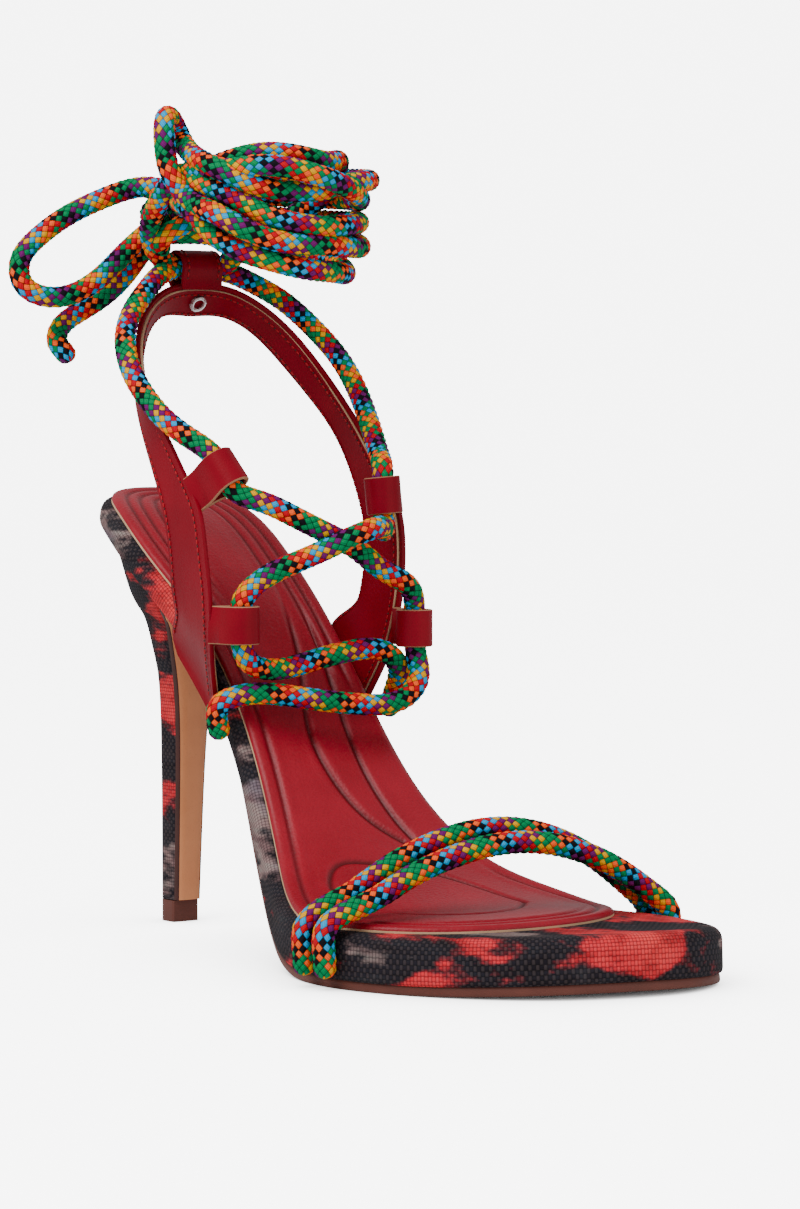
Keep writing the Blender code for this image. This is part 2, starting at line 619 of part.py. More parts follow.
def make_ropes():
    """Lacing joined where its two ropes cross, and the two ropes over the toes."""
    lacing = as_mesh(tube("instep_lacing", LACE_A, LACE_STEP))
    other = as_mesh(tube("lacing_partner", LACE_B, LACE_STEP))
    other.hide_render = True
    other.display_type = "WIRE"
    join = lacing.modifiers.new("join", "BOOLEAN")
    join.operation = "UNION"
    join.solver = "EXACT"
    join.object = other

    reach = ROPE / 2 + GAP
    for name, (near_x, far_x, arch) in TOE_ROPES.items():
        near = -wall(-1, near_x) - reach
        far = wall(1, far_x) + reach
        route = [(near_x, near, TOE_ROPE_FOOT), (near_x, near, 0.6 * TOE_ROPE_SHOULDER)]
        for t in np.linspace(0.0, 0.95, 9):
            lean = np.sin(np.pi * t ** TOE_ROPE_SKEW)
            rise = TOE_ROPE_SHOULDER + (arch - TOE_ROPE_SHOULDER) * lean ** 0.8
            route.append((near_x + t * (far_x - near_x), near + t * (far - near), rise))
        route += [(far_x, far, z) for z in (TOE_ROPE_SHOULDER, 0.6 * TOE_ROPE_SHOULDER, TOE_ROPE_FOOT)]
        tube(name, route, LACE_STEP)


def make_tie():
    """Ankle tie: wound coil, knot, bow loop and hanging end."""
    mesh = bmesh.new()
    rings = []
    for turn in np.linspace(0, 2 * np.pi, COIL_STEPS, endpoint=False):
        low = COIL_LOW - COIL_FALL * np.cos(turn - COIL_TURN)
        middle = ((COIL_OUTER + COIL_INNER) / 2, (COIL_HIGH + low) / 2)
        half = ((COIL_OUTER - COIL_INNER) / 2, (COIL_HIGH - low) / 2)
        ring = []
        for a in np.linspace(0, 2 * np.pi, 12, endpoint=False) + np.pi / 12:
            c, s = np.cos(a), np.sin(a)
            radius = middle[0] + half[0] * np.sign(c) * abs(c) ** 0.5
            z = middle[1] + half[1] * np.sign(s) * abs(s) ** 0.5
            ring.append(mesh.verts.new(Vector((COIL_X + radius * np.cos(turn),
                                               COIL_Y + radius * np.sin(turn), z)) * MM))
        rings.append(ring)
    for r, s in zip(rings, rings[1:] + rings[:1]):
        for i in range(len(r)):
            k = (i + 1) % len(r)
            mesh.faces.new((r[i], r[k], s[k], s[i]))
    add_mesh("tie_coil", mesh, "rope", sharp=80)

    mesh = bmesh.new()
    bmesh.ops.create_icosphere(mesh, subdivisions=2, radius=MM)
    bmesh.ops.scale(mesh, vec=KNOT_SIZE, verts=mesh.verts)
    bmesh.ops.translate(mesh, vec=Vector(KNOT) * MM, verts=mesh.verts)
    add_mesh("tie_knot", mesh, "rope", sharp=80)
    for name, route in (("tie_bow_loop", BOW_LOOP), ("tie_end", TIE_END)):
        tube(name, route, LACE_STEP)


clear_scene()
root = bpy.data.objects.new("sandal", None)
bpy.context.collection.objects.link(root)
root.location = (-CENTRE_X * MM, -CENTRE_Y * MM, 0)
materials = {}
for finish_name, (colour, rough, metal) in FINISH.items():
    made = bpy.data.materials.new(finish_name)
    made.use_nodes = True
    shader = made.node_tree.nodes["Principled BSDF"]
    shader.inputs["Base Color"].default_value = colour
    shader.inputs["Roughness"].default_value = rough
    shader.inputs["Metallic"].default_value = metal
    materials[finish_name] = made
make_sole()
make_heel()
make_upper()
make_ropes()
make_tie()
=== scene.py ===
"""Right-foot stiletto sandal, dressed: printed canvas, red leather, moulded sock and braided rope.

Tables are in millimetres, as in the part's source: X runs from the back of the heel to the toe,
Y to the wearer's left and Z up from the floor.  The near side is the outer one, at minus Y.
"""

import bmesh
import bpy
import numpy as np
from mathutils import Matrix, Vector


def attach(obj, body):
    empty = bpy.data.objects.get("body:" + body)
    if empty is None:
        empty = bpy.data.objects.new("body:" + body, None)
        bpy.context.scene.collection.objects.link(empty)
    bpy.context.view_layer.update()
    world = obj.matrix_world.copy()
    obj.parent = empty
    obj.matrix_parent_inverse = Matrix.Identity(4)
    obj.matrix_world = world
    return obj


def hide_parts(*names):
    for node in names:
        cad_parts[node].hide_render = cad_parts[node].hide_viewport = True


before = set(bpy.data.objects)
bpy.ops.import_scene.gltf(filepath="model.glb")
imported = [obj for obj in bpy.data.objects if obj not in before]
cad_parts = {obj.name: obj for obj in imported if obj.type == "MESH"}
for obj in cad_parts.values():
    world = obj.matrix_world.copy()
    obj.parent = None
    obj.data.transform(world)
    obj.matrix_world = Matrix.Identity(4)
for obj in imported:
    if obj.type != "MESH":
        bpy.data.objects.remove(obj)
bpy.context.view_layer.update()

MM = 0.001
GAP = 0.3                    # clearance between pieces
SUNK = 0.3                   # glued layers go into each other by this much
CENTRE = np.array([106.04, 1.76, 0.0])   # place of the frame's origin on the shoe

# Meshes
WELD = 0.002                 # points nearer than this become one
SLIVER = 0.001               # edges shorter than this are taken out
SHARP = 50                   # edges that turn by more degrees than this are shaded sharp
CURVE_STEPS = 40             # steps for each point in which a smooth curve is worked out
SLANT = Vector((1.0, 0.618, 0.273))   # stitches are put in order along this, the same in each run

# Sole
FLAT_HEIGHT = 14.0
FLAT_START = 150.0
FLAT_END = 176.0
TOE_X = 212.0
TOE_SPRING = 2.2
OUTSOLE_THICK = 2.0
OUTSOLE_INSET = 0.8
OUTSOLE_REAR = 0.218         # share of the length without an outsole, behind
OUTSOLE_TUCK = 3.0           # the outsole is drawn in under the waist by this much
TUCK_FROM = 55.0
TUCK_TO = 100.0
FOREFOOT_THICK = FLAT_HEIGHT - OUTSOLE_THICK - GAP
WAIST_THICK = 6.6
THICK_FROM = 85.0
THICK_TO = 140.0
BREAK_SKEW = 0.26            # slant of the ball line
SKEW_FROM = 50.0
SKEW_TO = 120.0
SOCK_THICK = 1.8
SIDE_STEPS = 150
SIDE_FINENESS = 4            # points worked out for each of these steps
RUNGS = 24                   # steps across the flat top and underside
HEEL_LAP = 4                 # points of a footprint taken again, so that its curve goes round the heel
SLOPE_STEP = 0.05            # step over which a slope is measured
ARCH = [(0, 120.0), (20, 114.3), (40, 101.8), (60, 84.8), (80, 60.8), (100, 37.2),
        (115, 25.0), (130, 18.0), (FLAT_START, FLAT_HEIGHT)]
FOOTPRINT_OUTER = [(0, 0), (4, -14), (21, -23.5), (45, -25), (75, -21), (104, -28.5), (129, -40),
                   (150, -43.5), (171, -38), (189, -26.5), (203, -10.5), (210, 7)]
FOOTPRINT_INNER = [(0, 0), (4, 14), (20, 24), (46, 25), (72, 24), (100, 24.5), (131, 34),
                   (159, 44.5), (186, 47), (204, 40), (211.5, 25), (210, 7)]
SOCK_OUTER = [(2.6, 0), (6.3, -12.6), (21.5, -20.9), (45, -22.3), (75, -18.4), (104, -25.6),
              (129, -36.6), (148, -38.6), (163, -33), (174, -21), (179, -6), (179.5, 5)]
SOCK_INNER = [(2.6, 0), (6.3, 12.6), (20.5, 21.3), (46, 22.3), (72, 21.4), (100, 21.9),
              (131, 31), (152, 39), (165, 37), (173, 29), (178, 17), (179.5, 5)]
# Layers of the wrapped platform from its top edge down: inset, share of thickness, added depth
PLATFORM_LAYERS = [(3.4, 0.0, 0.0), (2.4, 0.0, 0.15), (1.6, 0.0, 0.5), (0.9, 0.0, 1.05), (0.4, 0.0, 1.8),
                   (0.1, 0.0, 2.7), (0.0, 0.0, 3.6), (0.0, 0.7, 0.0), (0.0, 1.0, -1.4),
                   (0.25, 1.0, -0.5), (0.8, 1.0, -0.1), (1.4, 1.0, 0.0)]
OUTSOLE_LAYERS = [(OUTSOLE_INSET + 0.5, 1.0, -SUNK), (OUTSOLE_INSET + 0.1, 1.0, GAP),
                  (OUTSOLE_INSET, 1.0, GAP + 0.45), (OUTSOLE_INSET, 1.0, GAP + OUTSOLE_THICK - 0.6),
                  (OUTSOLE_INSET + 0.15, 1.0, GAP + OUTSOLE_THICK - 0.2),
                  (OUTSOLE_INSET + 0.6, 1.0, GAP + OUTSOLE_THICK)]

# Moulded lines of the sock: distance in from its edge, where they fade out along the near side and
# the far side, and where they come back at the forefoot
SOCK_ROUNDS = [(4.2, 400.0, 84.0, 122.0), (7.8, 78.0, 78.0, 158.0), (12.0, 58.0, 58.0, 400.0)]
SOCK_ROWS = 500
SOCK_COLUMNS = 180
SOCK_SHARP = 60
LINE_POINTS = 120            # points along a moulded line
GROOVE = 0.85                # half width of a moulded line
DIP = 4.5                    # half width of the soft dip along it
ROUND_FADE = 14.0            # a round fades over this length
ROUND_DEPTH = 0.6
ROUND_DIP = 0.25
ROUND_BEAD = 0.2             # height of the bead beside a round
ROUND_BEAD_AWAY = 2.0
ROUND_DARK = 0.8             # a round gets less painted shade than a line
LINE_FADE = 16.0             # the waist lines come in over this length
LINE_DEPTH = 0.8
LINE_DIP = 3.0               # dip of a line for its bead's height
LINE_BEADS = (0.25, 0.15, 0.0)
LINE_BEAD_AWAY = 2.2
BEAD = 1.3                   # half width of a bead
SOCK_ROUNDING = 2.2          # width of the sock's rounded edge
SOCK_EDGE = 0.2              # share of the thickness at the very edge
SOCK_CROWN = 0.45            # the middle stands up by this much
CROWN_FROM = 8.0
CROWN_TO = 20.0
EDGE_CROWDING = 0.4          # share by which the columns crowd at the edges
# Lines that leave the waist, and the outline of the forefoot pad: along, across
SOCK_LINES = [[(50, 10.5), (61, 8), (70, 5), (85, -1.5), (92, -1), (99, 1), (106, 4.5), (112, 9)],
              [(54, 15), (67, 13.5), (88, 9.5), (102, 10), (112, 12)]]
SOCK_PAD = [(150, 20), (159, 9), (160, -6), (151, -18), (135, -23), (121, -20.5), (114.3, -13), (116.5, -5),
            (126, 8.5), (137, 16)]

# Heel sections from seat to tip: back, breast, half width, drop under the seat, level,
# share of the section that follows the seat
HEEL = [(1.2, 40.0, 22.6, 0.0, 104.0, 1.0), (3.6, 37.0, 20.6, 2.5, 100.0, 1.0),
        (8.5, 33.5, 17.0, 8.0, 88.0, 0.5), (13.0, 30.5, 13.0, 13.0, 84.0, 0.2),
        (14.2, 28.2, 9.8, 18.0, 77.0, 0.05), (14.6, 26.4, 7.2, 18.0, 69.0, 0.0),
        (14.5, 25.2, 5.5, 18.0, 56.0, 0.0), (14.3, 24.0, 4.7, 18.0, 35.0, 0.0),
        (14.0, 22.6, 4.2, 18.0, 6.3, 0.0)]
HEEL_RINGS = 90
HEEL_ROUND = 22
HEEL_BACK = 0.62             # most of a section's length that its round back may take
HEEL_CORNER = 0.9
CORNER_WIDTHS = (0.985, 0.93)    # shares of the half width at the breast's rounded corner
BREAST_THICK = 1.2
BREAST_TOP = 0.05            # share of the heel above the facing
BREAST_WIDTH = 0.93
BREAST_PIPING = 0.6          # dark edge of the facing
BREAST_ROUNDING = 0.3        # rounding of its corners
PIPING_STEP = 0.2            # the face rises over this width beside the dark edge
BREAST_BOW = 0.4             # shoulders of the bowed face, as a share of its half width
# How far the facing stands out across its width, as shares of its thickness
BREAST_REACH = np.array([0, 0.75, 1, 1, 1.12, 1.16, 1.18, 1.16, 1.12, 1, 1, 0.75, 0])

# Horseshoe quarter from the sole to the middle of the back: rear edge round, rear edge height,
# front edge round, front edge height, hold against the wall of the platform
QUARTER = [(48.4, 77.0, 62.5, 60.3, 1.0), (46.9, 80.8, 63.6, 62.4, 1.0), (51.5, 88.0, 68.5, 74.5, 0.55),
           (53.8, 95.0, 71.8, 93.0, 0.18), (54.2, 105.0, 71.3, 105.0, 0.03),
           (52.3, 114.0, 69.0, 115.5, 0.0), (48.0, 123.5, 62.5, 124.5, 0.0),
           (41.0, 134.8, 53.5, 135.0, 0.0), (32.0, 146.2, 42.5, 146.5, 0.0),
           (24.0, 156.6, 31.5, 159.2, 0.0), (16.0, 165.2, 20.5, 170.1, 0.0),
           (8.0, 168.6, 10.0, 175.8, 0.0), (0.0, 168.5, 0.0, 177.0, 0.0)]
ANKLE_BACK = 29.5
ANKLE_STRAIGHT = 60.0
ANKLE_HALF = 32.0
ANKLE_Y = 1.0
ANKLE_LEAN = 6.0
LEAN_ROUND = 40.0
WALL_REACH = (0, 4, 8)       # the quarter clears the wall at these distances ahead
ANKLE_SQUARENESS = 2.5
ANKLE_AHEAD = 40.0           # the plan goes straight on by this much
ANKLE_STEPS = 400            # steps round the bend of the plan
QUARTER_STEPS = 220
QUARTER_COLUMNS = 13
QUARTER_SHARP = 55
EDGE_BULGE = 0.25            # rounding of a cut edge, as a share of the thickness
LEATHER = 2.0                # outer leather with its lining
LINING = 0.75
LINING_SETBACK = 1.3         # the lining stops short of the outer leather
STITCH_FRONT = 2.7           # rows of stitches in from the front and rear edges
STITCH_REAR = 1.3
STITCH_PITCH = 2.1
STITCH_LENGTH = 1.5
THREAD = 0.6
NEEDLE = 0.55                # dark dots between the stitches, painted shade in the needle holes
THREAD_HEIGHT = 0.35         # half height of a stitch for its width
STITCH_LIFT = 0.1            # middle of the thread over the leather
STITCH_ENDS = 4              # steps left bare at the ends of a row
TAB_STITCH = 1.6             # rows of stitches in from the sides of the back tab
TAB_STITCH_LIFT = 0.05

# Rope loops on the front edges of the quarter: side, middle of the rope, its direction,
# height of the seat on the front edge
LOOPS = {
    "loop_near_upper": (-1, (80.5, -25.8, 126.0), (0.59, 0.28, -0.76), 120.5),
    "loop_near_lower": (-1, (85.9, -24.0, 86.2), (0.0, 0.0, 1.0), 86.2),
    "loop_far_upper": (1, (85.4, 22.4, 119.6), (-0.35, 0.25, 0.9), 119.6),
    "loop_far_lower": (1, (91.4, 28.3, 84.1), (0.0, 0.0, 1.0), 84.1),
}
LOOP_LEATHER = 1.2
STRIP_ROUNDING = 0.25        # rounding of a strip's cut edges
LOOP_WIDTH = 10.0
LOOP_TUCK = 0.8              # the ends of a loop go in under the quarter by this much
LOOP_GRIP = 112.0            # half turn of a loop round the rope
LOOP_POINTS = 70
LOOP_BOW = 25                # points of its bend round the rope
LOOP_THIN = 0.7              # skived thickness of the ends
LOOP_SKIVE = 0.12            # share of the length that is skived, at each end
# Where a loop's two plies come together: half gaps at its neck, between and at its end
LOOP_PLIES = (0.7, 0.5, 0.35)
LOOP_NECK = (1.75, 0.85)     # neck for the radius of the fold, and most of it for the tail
BORE_CLEAR = 0.7
BACK_TAB_WIDTH = 13.0
TAB_ROPE = (27.6, 181.6)
TAB_REAR_END = (26.2, 175.6)
TAB_FRONT_END = (31.5, 175.6)
TAB_ARC = (205.0, -25.0)
TAB_POINTS = 50
TAB_BOW = 12                 # points of its bend round the rope

# Braided rope
ROPE = 6.0
CARRIERS = 8                 # yarns each way round, in pairs of one colour
LAY = 18.8                   # length in which a yarn goes once round
YARN_RELIEF = 0.3
YARN_POINTS = 4              # points of the mesh for each yarn
ROUTE_STEPS = 1200           # steps in which the length of a route is measured
FLOAT_ENDS = 0.4             # how blunt the ends of a yarn's float are
YARN_FLATNESS = 0.8          # how flat a yarn is across
STRANDS = 3.0                # strands in a yarn
ROPE_ASIDE = (0.3, 0.2, 0.93)    # a direction that no rope starts along
YARNS_LEFT = ["black", "black", "green", "green", "yellow", "yellow", "red", "red"]
YARNS_RIGHT = ["blue", "blue", "purple", "purple", "green", "green", "orange", "orange"]
YARN_COLOURS = {"black": (0.006, 0.005, 0.008), "blue": (0.0, 0.31, 0.62), "red": (0.48, 0.001, 0.01),
                "purple": (0.13, 0.006, 0.11), "yellow": (0.72, 0.34, 0.0), "green": (0.0, 0.20, 0.065),
                "orange": (0.92, 0.10, 0.012)}
LACE_A = [(77.6, -24.6, 55.5), (77.2, -25.6, 59.5), (78.6, -26.2, 64.5), (81.5, -22.5, 67.2),
          (86.0, -14.5, 67.8), (90.2, -5.0, 66.3), (93.8, 8.0, 64.6), (95.6, 16.5, 64.4),
          (95.6, 23.6, 66.8), (94.2, 27.8, 71.6), (91.8, 28.5, 77.6), (91.4, 28.3, 84.1),
          (91.4, 28.3, 90.0), (93.2, 26.0, 94.2), (94.8, 21.0, 97.4), (94.3, 15.5, 100.2),
          (93.4, 8.4, 105.2), (93.2, -1.0, 109.8), (91.2, -10.5, 114.4), (87.6, -18.5, 118.4),
          (83.3, -24.6, 121.7), (80.5, -25.8, 126.0), (77.7, -27.0, 130.3), (72.0, -30.6, 135.0),
          (65.0, -33.9, 140.0), (58.6, -35.2, 145.3), (51.3, -35.4, 152.3), (44.5, -33.3, 160.2),
          (38.4, -27.6, 168.2), (33.0, -18.6, 175.6), (28.6, -10.0, 180.4), (27.6, -5.0, 181.4),
          (27.6, 0.4, 181.4)]
LACE_B = [(79.0, 28.0, 59.5), (80.6, 28.2, 63.5), (83.6, 28.0, 68.6), (87.2, 26.0, 73.4),
          (89.0, 22.0, 76.9), (89.2, 16.0, 78.8), (87.6, 8.0, 78.1), (85.8, 0.0, 76.3),
          (84.5, -8.0, 74.4), (84.1, -14.5, 74.2), (84.7, -20.0, 75.8), (85.8, -23.6, 80.4),
          (85.9, -24.0, 86.2), (86.0, -23.8, 92.0), (87.8, -19.8, 97.4), (91.5, -12.6, 101.8),
          (95.4, -5.5, 105.2), (99.0, 2.0, 109.0), (98.4, 9.5, 111.2), (93.4, 16.2, 111.2),
          (88.6, 20.2, 110.6), (85.5, 22.4, 114.4), (85.4, 22.4, 119.6), (85.2, 22.5, 124.6),
          (82.4, 24.2, 127.6), (77.5, 27.0, 129.8), (71.6, 29.6, 134.3), (62.3, 33.0, 142.5),
          (55.3, 34.6, 149.4), (48.2, 34.6, 156.7), (40.9, 33.0, 163.4), (35.4, 30.0, 169.0),
          (32.1, 25.5, 173.5), (29.6, 19.8, 177.0), (28.3, 12.0, 180.2), (27.6, 5.6, 181.4),
          (27.6, -0.4, 181.4)]
TOE_ROPES = {"toe_rope_rear": (147.0, 164.0, 37.0), "toe_rope_front": (155.0, 171.5, 34.0)}
TOE_ROPE_FOOT = 2.8
TOE_ROPE_SKEW = 1.15
TOE_ROPE_SHOULDER = 14.0
TOE_ROPE_UPRIGHT = 0.6       # a foot stands straight for this share of the shoulder
TOE_ROPE_FULLNESS = 0.8
TOE_ROPE_SHARES = np.linspace(0.0, 0.95, 9)

# Ankle tie: two ropes wound one way and the other into six rounds over the back tab
COIL_X = 60.0
COIL_Y = 3.2
FAN = np.radians(54.4)       # direction in which the rounds fan out; they bunch at the other end
ROUND_TURNS = (-150, -90, 0, 30, 60, 90, 120, 150)
TURN_STEP = 30
# Each round: reach to the fan, to the bunch, in front by the bunch and by the fan, and behind,
# then its height at each of the turns above, counted from the fan round by the front
ROUNDS = {
    "top": (18.4, 25, 22, 23, 20, 187.0, 192.0, 209.0, 208.6, 209.4, 210.3, 207.7, 204.5),
    "high": (24.1, 24, 25, 32, 26, 203.3, 201.6, 199.0, 201.4, 204.4, 206.6, 205.7, 204.0),
    "over": (26.6, 26, 31, 20, 27, 206.4, 207.6, 204.3, 203.1, 200.7, 200.7, 205.9, 213.1),
    "middle": (23.8, 25, 25, 28, 27, 197.0, 195.8, 193.0, 191.5, 191.0, 193.5, 200.0, 204.2),
    "low": (24.2, 27, 32, 25, 33, 199.5, 194.5, 186.4, 185.9, 186.0, 187.4, 193.9, 200.8),
    "bottom": (20.2, 25, 26, 26, 27, 190.6, 189.3, 179.4, 179.1, 179.6, 181.9, 187.2, 196.5),
}
TIE_A_RISE = [(27.6, 5.0, 181.4), (30.4, 8.0, 182.6), (36.0, 8.4, 185.6), (43.0, 11.0, 190.0)]
TIE_B_RISE = [(27.6, -5.0, 181.4), (26.8, -9.8, 183.6), (28.6, -14.4, 188.0), (33.4, -18.2, 192.8),
              (40.0, -20.4, 197.4), (46.4, -21.6, 201.6), (52.4, -21.8, 204.6)]
# Upright bight between two rounds, bow loop out of the knot and back, and the free end
BIGHT = [(53.5, -19.7, 212.7), (50.3, -19.0, 215.0), (48.9, -19.9, 218.2), (50.3, -22.6, 220.6),
         (53.2, -25.9, 220.0), (55.2, -27.7, 216.8), (56.0, -28.0, 212.6), (56.7, -27.8, 208.4),
         (58.2, -27.2, 204.6)]
BOW_LOOP = [(30.7, -10.0, 201.8), (25.8, -12.4, 203.5), (19.8, -15.8, 203.2), (15.6, -22.0, 200.6),
            (12.4, -31.0, 196.0), (9.8, -39.5, 189.6), (8.4, -44.4, 182.6), (9.6, -43.8, 176.6),
            (12.2, -37.8, 173.4), (14.8, -30.0, 174.8), (17.2, -22.6, 180.0), (19.6, -16.4, 186.6),
            (24.0, -11.6, 192.2), (29.6, -9.8, 196.0)]
TIE_END = [(29.6, -10.6, 190.9), (22.8, -8.9, 191.6), (17.0, -10.6, 185.8), (11.9, -14.9, 177.6),
           (8.0, -20.4, 172.1), (5.5, -25.6, 168.5), (5.1, -29.6, 165.1), (6.3, -31.3, 161.5),
           (9.1, -30.8, 158.5), (11.1, -29.8, 155.7)]
KNOT = np.array([31.1, -10.4, 196.4])
KNOT_LEAN = (-0.22, -0.18, 0.96)   # the knot's wraps go round this direction
KNOT_RADIUS = 5.2
KNOT_WRAPS = 2.1
KNOT_PITCH = 8.6
KNOT_POINTS = 30

# Print on the canvas: its blotches are drawn out along the shoe
PRINT_STRETCH = (0.5, 0.7, 1.2)
PRINT_SHIFT = (0.51, 0.83, 0.31)
INK_STRETCH = (0.35, 0.6, 1.3)   # streaks of ink within a blotch
# How fine each layer of the print is, for each metre
PRINT_SCALE = {"blotches": 46.0, "ragged edges": 420.0, "muted tones": 38.0, "spots": 95.0, "ink": 260.0}
PRINT_RAGGED = 0.17          # how far the edges of the blotches are torn
# Charcoal into coral, and slate into taupe and brown, along their ramps
PRINT_GROUND = [(0.0, (0.013, 0.011, 0.017)), (0.515, (0.011, 0.009, 0.014)), (0.54, (0.13, 0.014, 0.02)),
                (0.57, (0.60, 0.02, 0.03)), (0.8, (0.74, 0.045, 0.045))]
PRINT_MUTED = [(0.38, (0.10, 0.085, 0.115)), (0.46, (0.24, 0.16, 0.15)), (0.55, (0.24, 0.16, 0.15)),
               (0.64, (0.14, 0.10, 0.095))]
PRINT_INK = [(0.36, (0.60, 0.50, 0.54)), (0.52, (1, 1, 1)), (0.66, (1.0, 1.25, 1.2))]
PRINT_SPOT = (0.02, 0.017, 0.022)
BARE_THREAD = (0.30, 0.22, 0.20)
BARE_SHARE = 0.07            # how much of it shows on the yarns of one way
WEAVE = 0.95                 # pitch of the yarns
PRINT_DRIFT = 0.3            # more coral towards the toe, for each metre

# Finishes: how fine their marks are, for each metre, and how much each counts
PORES = 2600.0
PORE_DEPTH = 0.35            # for the height of a pebble
TONE_PATCHES = 60.0          # slow change of a leather's tone
MATT_SPREAD = 0.16           # change of roughness over a leather
FLUFF = 3000.0               # loose fibres on the rope
FLUFF_DEPTH = 0.12           # for the height of a yarn
STRAND_DEPTH = 0.15          # likewise
SCRATCHES = 900.0            # on the eyelet
NICKEL_SMOOTH = 0.14         # roughness of the nickel between its scratches
NICKEL_WORN = 0.2            # what the scratches add to it

SKY = 0.72                   # soft light from all round
BACKDROP = 6.0               # light of the white sheet behind and under the shoe
FLOOR_REACH = 4.0            # half width of the floor, in metres
FLOOR_LIT = 0.7              # light on the floor besides, so that no horizon shows
CONTACT = 60.0               # reach of the soft shadow painted on the glowing floor under the shoe
# Lights: metres aside, up and towards the camera from the point it looks at, size and power
LIGHTS = {"key": ((-0.5, 1.0, 0.6), 0.8, 18.0), "fill": ((0.9, 0.35, 0.8), 1.1, 4.0)}
LIT_AT = Vector((0, 0, 0.09))

# Camera: the point it looks at, its bearing and height over it, distance and focal length
AIM = np.array([100.0, 0.0, 100.0])
BEARING = np.radians(35.56)
RISE = np.radians(2.27)
DISTANCE = 1042.0
FOCAL = 3973.0 / 1209.0      # in heights of the picture
OFF_CENTRE = (0.0133, -0.00818)   # turns of the camera to the right and up, as tangents


def cubic(knots, rows, end_slope=None):
    """Return the smooth curve through the rows; its last end is free unless a slope is given."""
    knots = np.asarray(knots, float)
    rows = np.asarray(rows, float)
    shape = rows.shape[1:]
    rows = rows.reshape(len(knots), -1)
    count = len(knots)
    step = np.diff(knots)
    slope = np.diff(rows, axis=0) / step[:, None]
    system = np.eye(count)
    right = np.zeros_like(rows)
    for i in range(1, count - 1):
        system[i, i - 1:i + 2] = step[i - 1], 2 * (step[i - 1] + step[i]), step[i]
        right[i] = 6 * (slope[i] - slope[i - 1])
    if end_slope is not None:
        system[-1, -2:] = step[-1], 2 * step[-1]
        right[-1] = 6 * (end_slope - slope[-1])
    bend = np.linalg.solve(system, right)

    def at(where):
        where = np.asarray(where, float)
        i = np.clip(np.searchsorted(knots, where) - 1, 0, count - 2)
        before = (where - knots[i])[..., None]
        after = (knots[i + 1] - where)[..., None]
        h = step[i][..., None]
        value = (bend[i] * after ** 3 + bend[i + 1] * before ** 3) / (6 * h)
        value = value + (rows[i] / h - bend[i] * h / 6) * after
        value = value + (rows[i + 1] / h - bend[i + 1] * h / 6) * before
        return value.reshape(where.shape + shape)

    return at


def run_of(points):
    """Distance along a row of points."""
    points = np.asarray(points, float)
    return np.concatenate([[0], np.cumsum(np.linalg.norm(np.diff(points, axis=0), axis=1))])


def smooth(points, count):
    """Evenly spaced points on a smooth curve through the given ones."""
    points = np.asarray(points, float)
    knots = run_of(points)
    fine = cubic(knots, points)(np.linspace(0, knots[-1], CURVE_STEPS * len(points)))
    along = run_of(fine)
    want = np.linspace(0, along[-1], count)
    return np.stack([np.interp(want, along, fine[:, k]) for k in range(fine.shape[1])], axis=1)


def unit(vectors):
    """Vectors of length 1."""
    vectors = np.asarray(vectors, float)
    return vectors / np.linalg.norm(vectors, axis=-1, keepdims=True)


def ease(value, low, high):
    """Soft step from 0 at low to 1 at high."""
    t = np.clip((np.asarray(value, float) - low) / (high - low), 0, 1)
    return t * t * (3 - 2 * t)


arch_curve = cubic([u for u, _ in ARCH], [z for _, z in ARCH], end_slope=0.0)


def station(x, y):
    """Distance along the shoe at which a point bends with the ball line."""
    return np.clip(x - BREAK_SKEW * ease(x, SKEW_FROM, SKEW_TO) * y, 0, None)


def board_height(x, y):
    """Height of the top of the board."""
    u = station(x, y)
    rear = arch_curve(np.minimum(u, FLAT_START))
    toe = TOE_SPRING * (np.maximum(u - FLAT_END, 0) / (TOE_X - FLAT_END)) ** 2
    return np.where(u < FLAT_START, rear, FLAT_HEIGHT + toe)


def board_thick(x, y):
    """Thickness of the platform, thin at the arch and seat."""
    return WAIST_THICK + (FOREFOOT_THICK - WAIST_THICK) * ease(station(x, y), THICK_FROM, THICK_TO)


def on_board(x, y, depth):
    """Points at a depth under the top of the board, measured square to it."""
    x = np.asarray(x, float)
    y = np.asarray(y, float)
    d = SLOPE_STEP
    sx = (board_height(x + d, y) - board_height(x - d, y)) / (2 * d)
    sy = (board_height(x, y + d) - board_height(x, y - d)) / (2 * d)
    n = np.sqrt(1 + sx ** 2 + sy ** 2)
    return np.stack([x + sx / n * depth, y + sy / n * depth, board_height(x, y) - depth / n], axis=-1)


def sides_of(outer, inner, inset=0.0, rear=0.0, steps=SIDE_STEPS, tuck=0.0):
    """The two sides of a footprint from heel to toe, drawn in by an inset.

    A rear above 0 leaves off that share of the length behind, and a tuck draws the waist in more.
    """
    points = outer + inner[-2::-1]
    wrapped = np.array(inner[HEEL_LAP:0:-1] + points + outer[1:HEEL_LAP + 1], float)
    knots = run_of(wrapped)
    curve = cubic(knots, wrapped)
    heel, toe, back = (knots[HEEL_LAP + k] for k in (0, len(outer) - 1, len(points) - 1))
    a = curve(np.linspace(heel, toe, SIDE_FINENESS * steps + 1))
    b = curve(np.linspace(back, toe, SIDE_FINENESS * steps + 1))
    loop = np.concatenate([a, b[-2:0:-1]])
    run = unit(np.roll(loop, -1, axis=0) - np.roll(loop, 1, axis=0))
    inset = inset + tuck * (1 - ease(loop[:, :1], TUCK_FROM, TUCK_TO))
    loop = loop + inset * np.stack([-run[:, 1], run[:, 0]], axis=1)
    a = loop[:len(a)]
    b = np.concatenate([loop[:1], loop[:len(a) - 2:-1]])
    share = np.linspace(rear, 1, steps + 1) * (len(a) - 1)
    pick = np.arange(len(a))
    return [np.stack([np.interp(share, pick, s[:, k]) for k in (0, 1)], axis=1) for s in (a, b)]


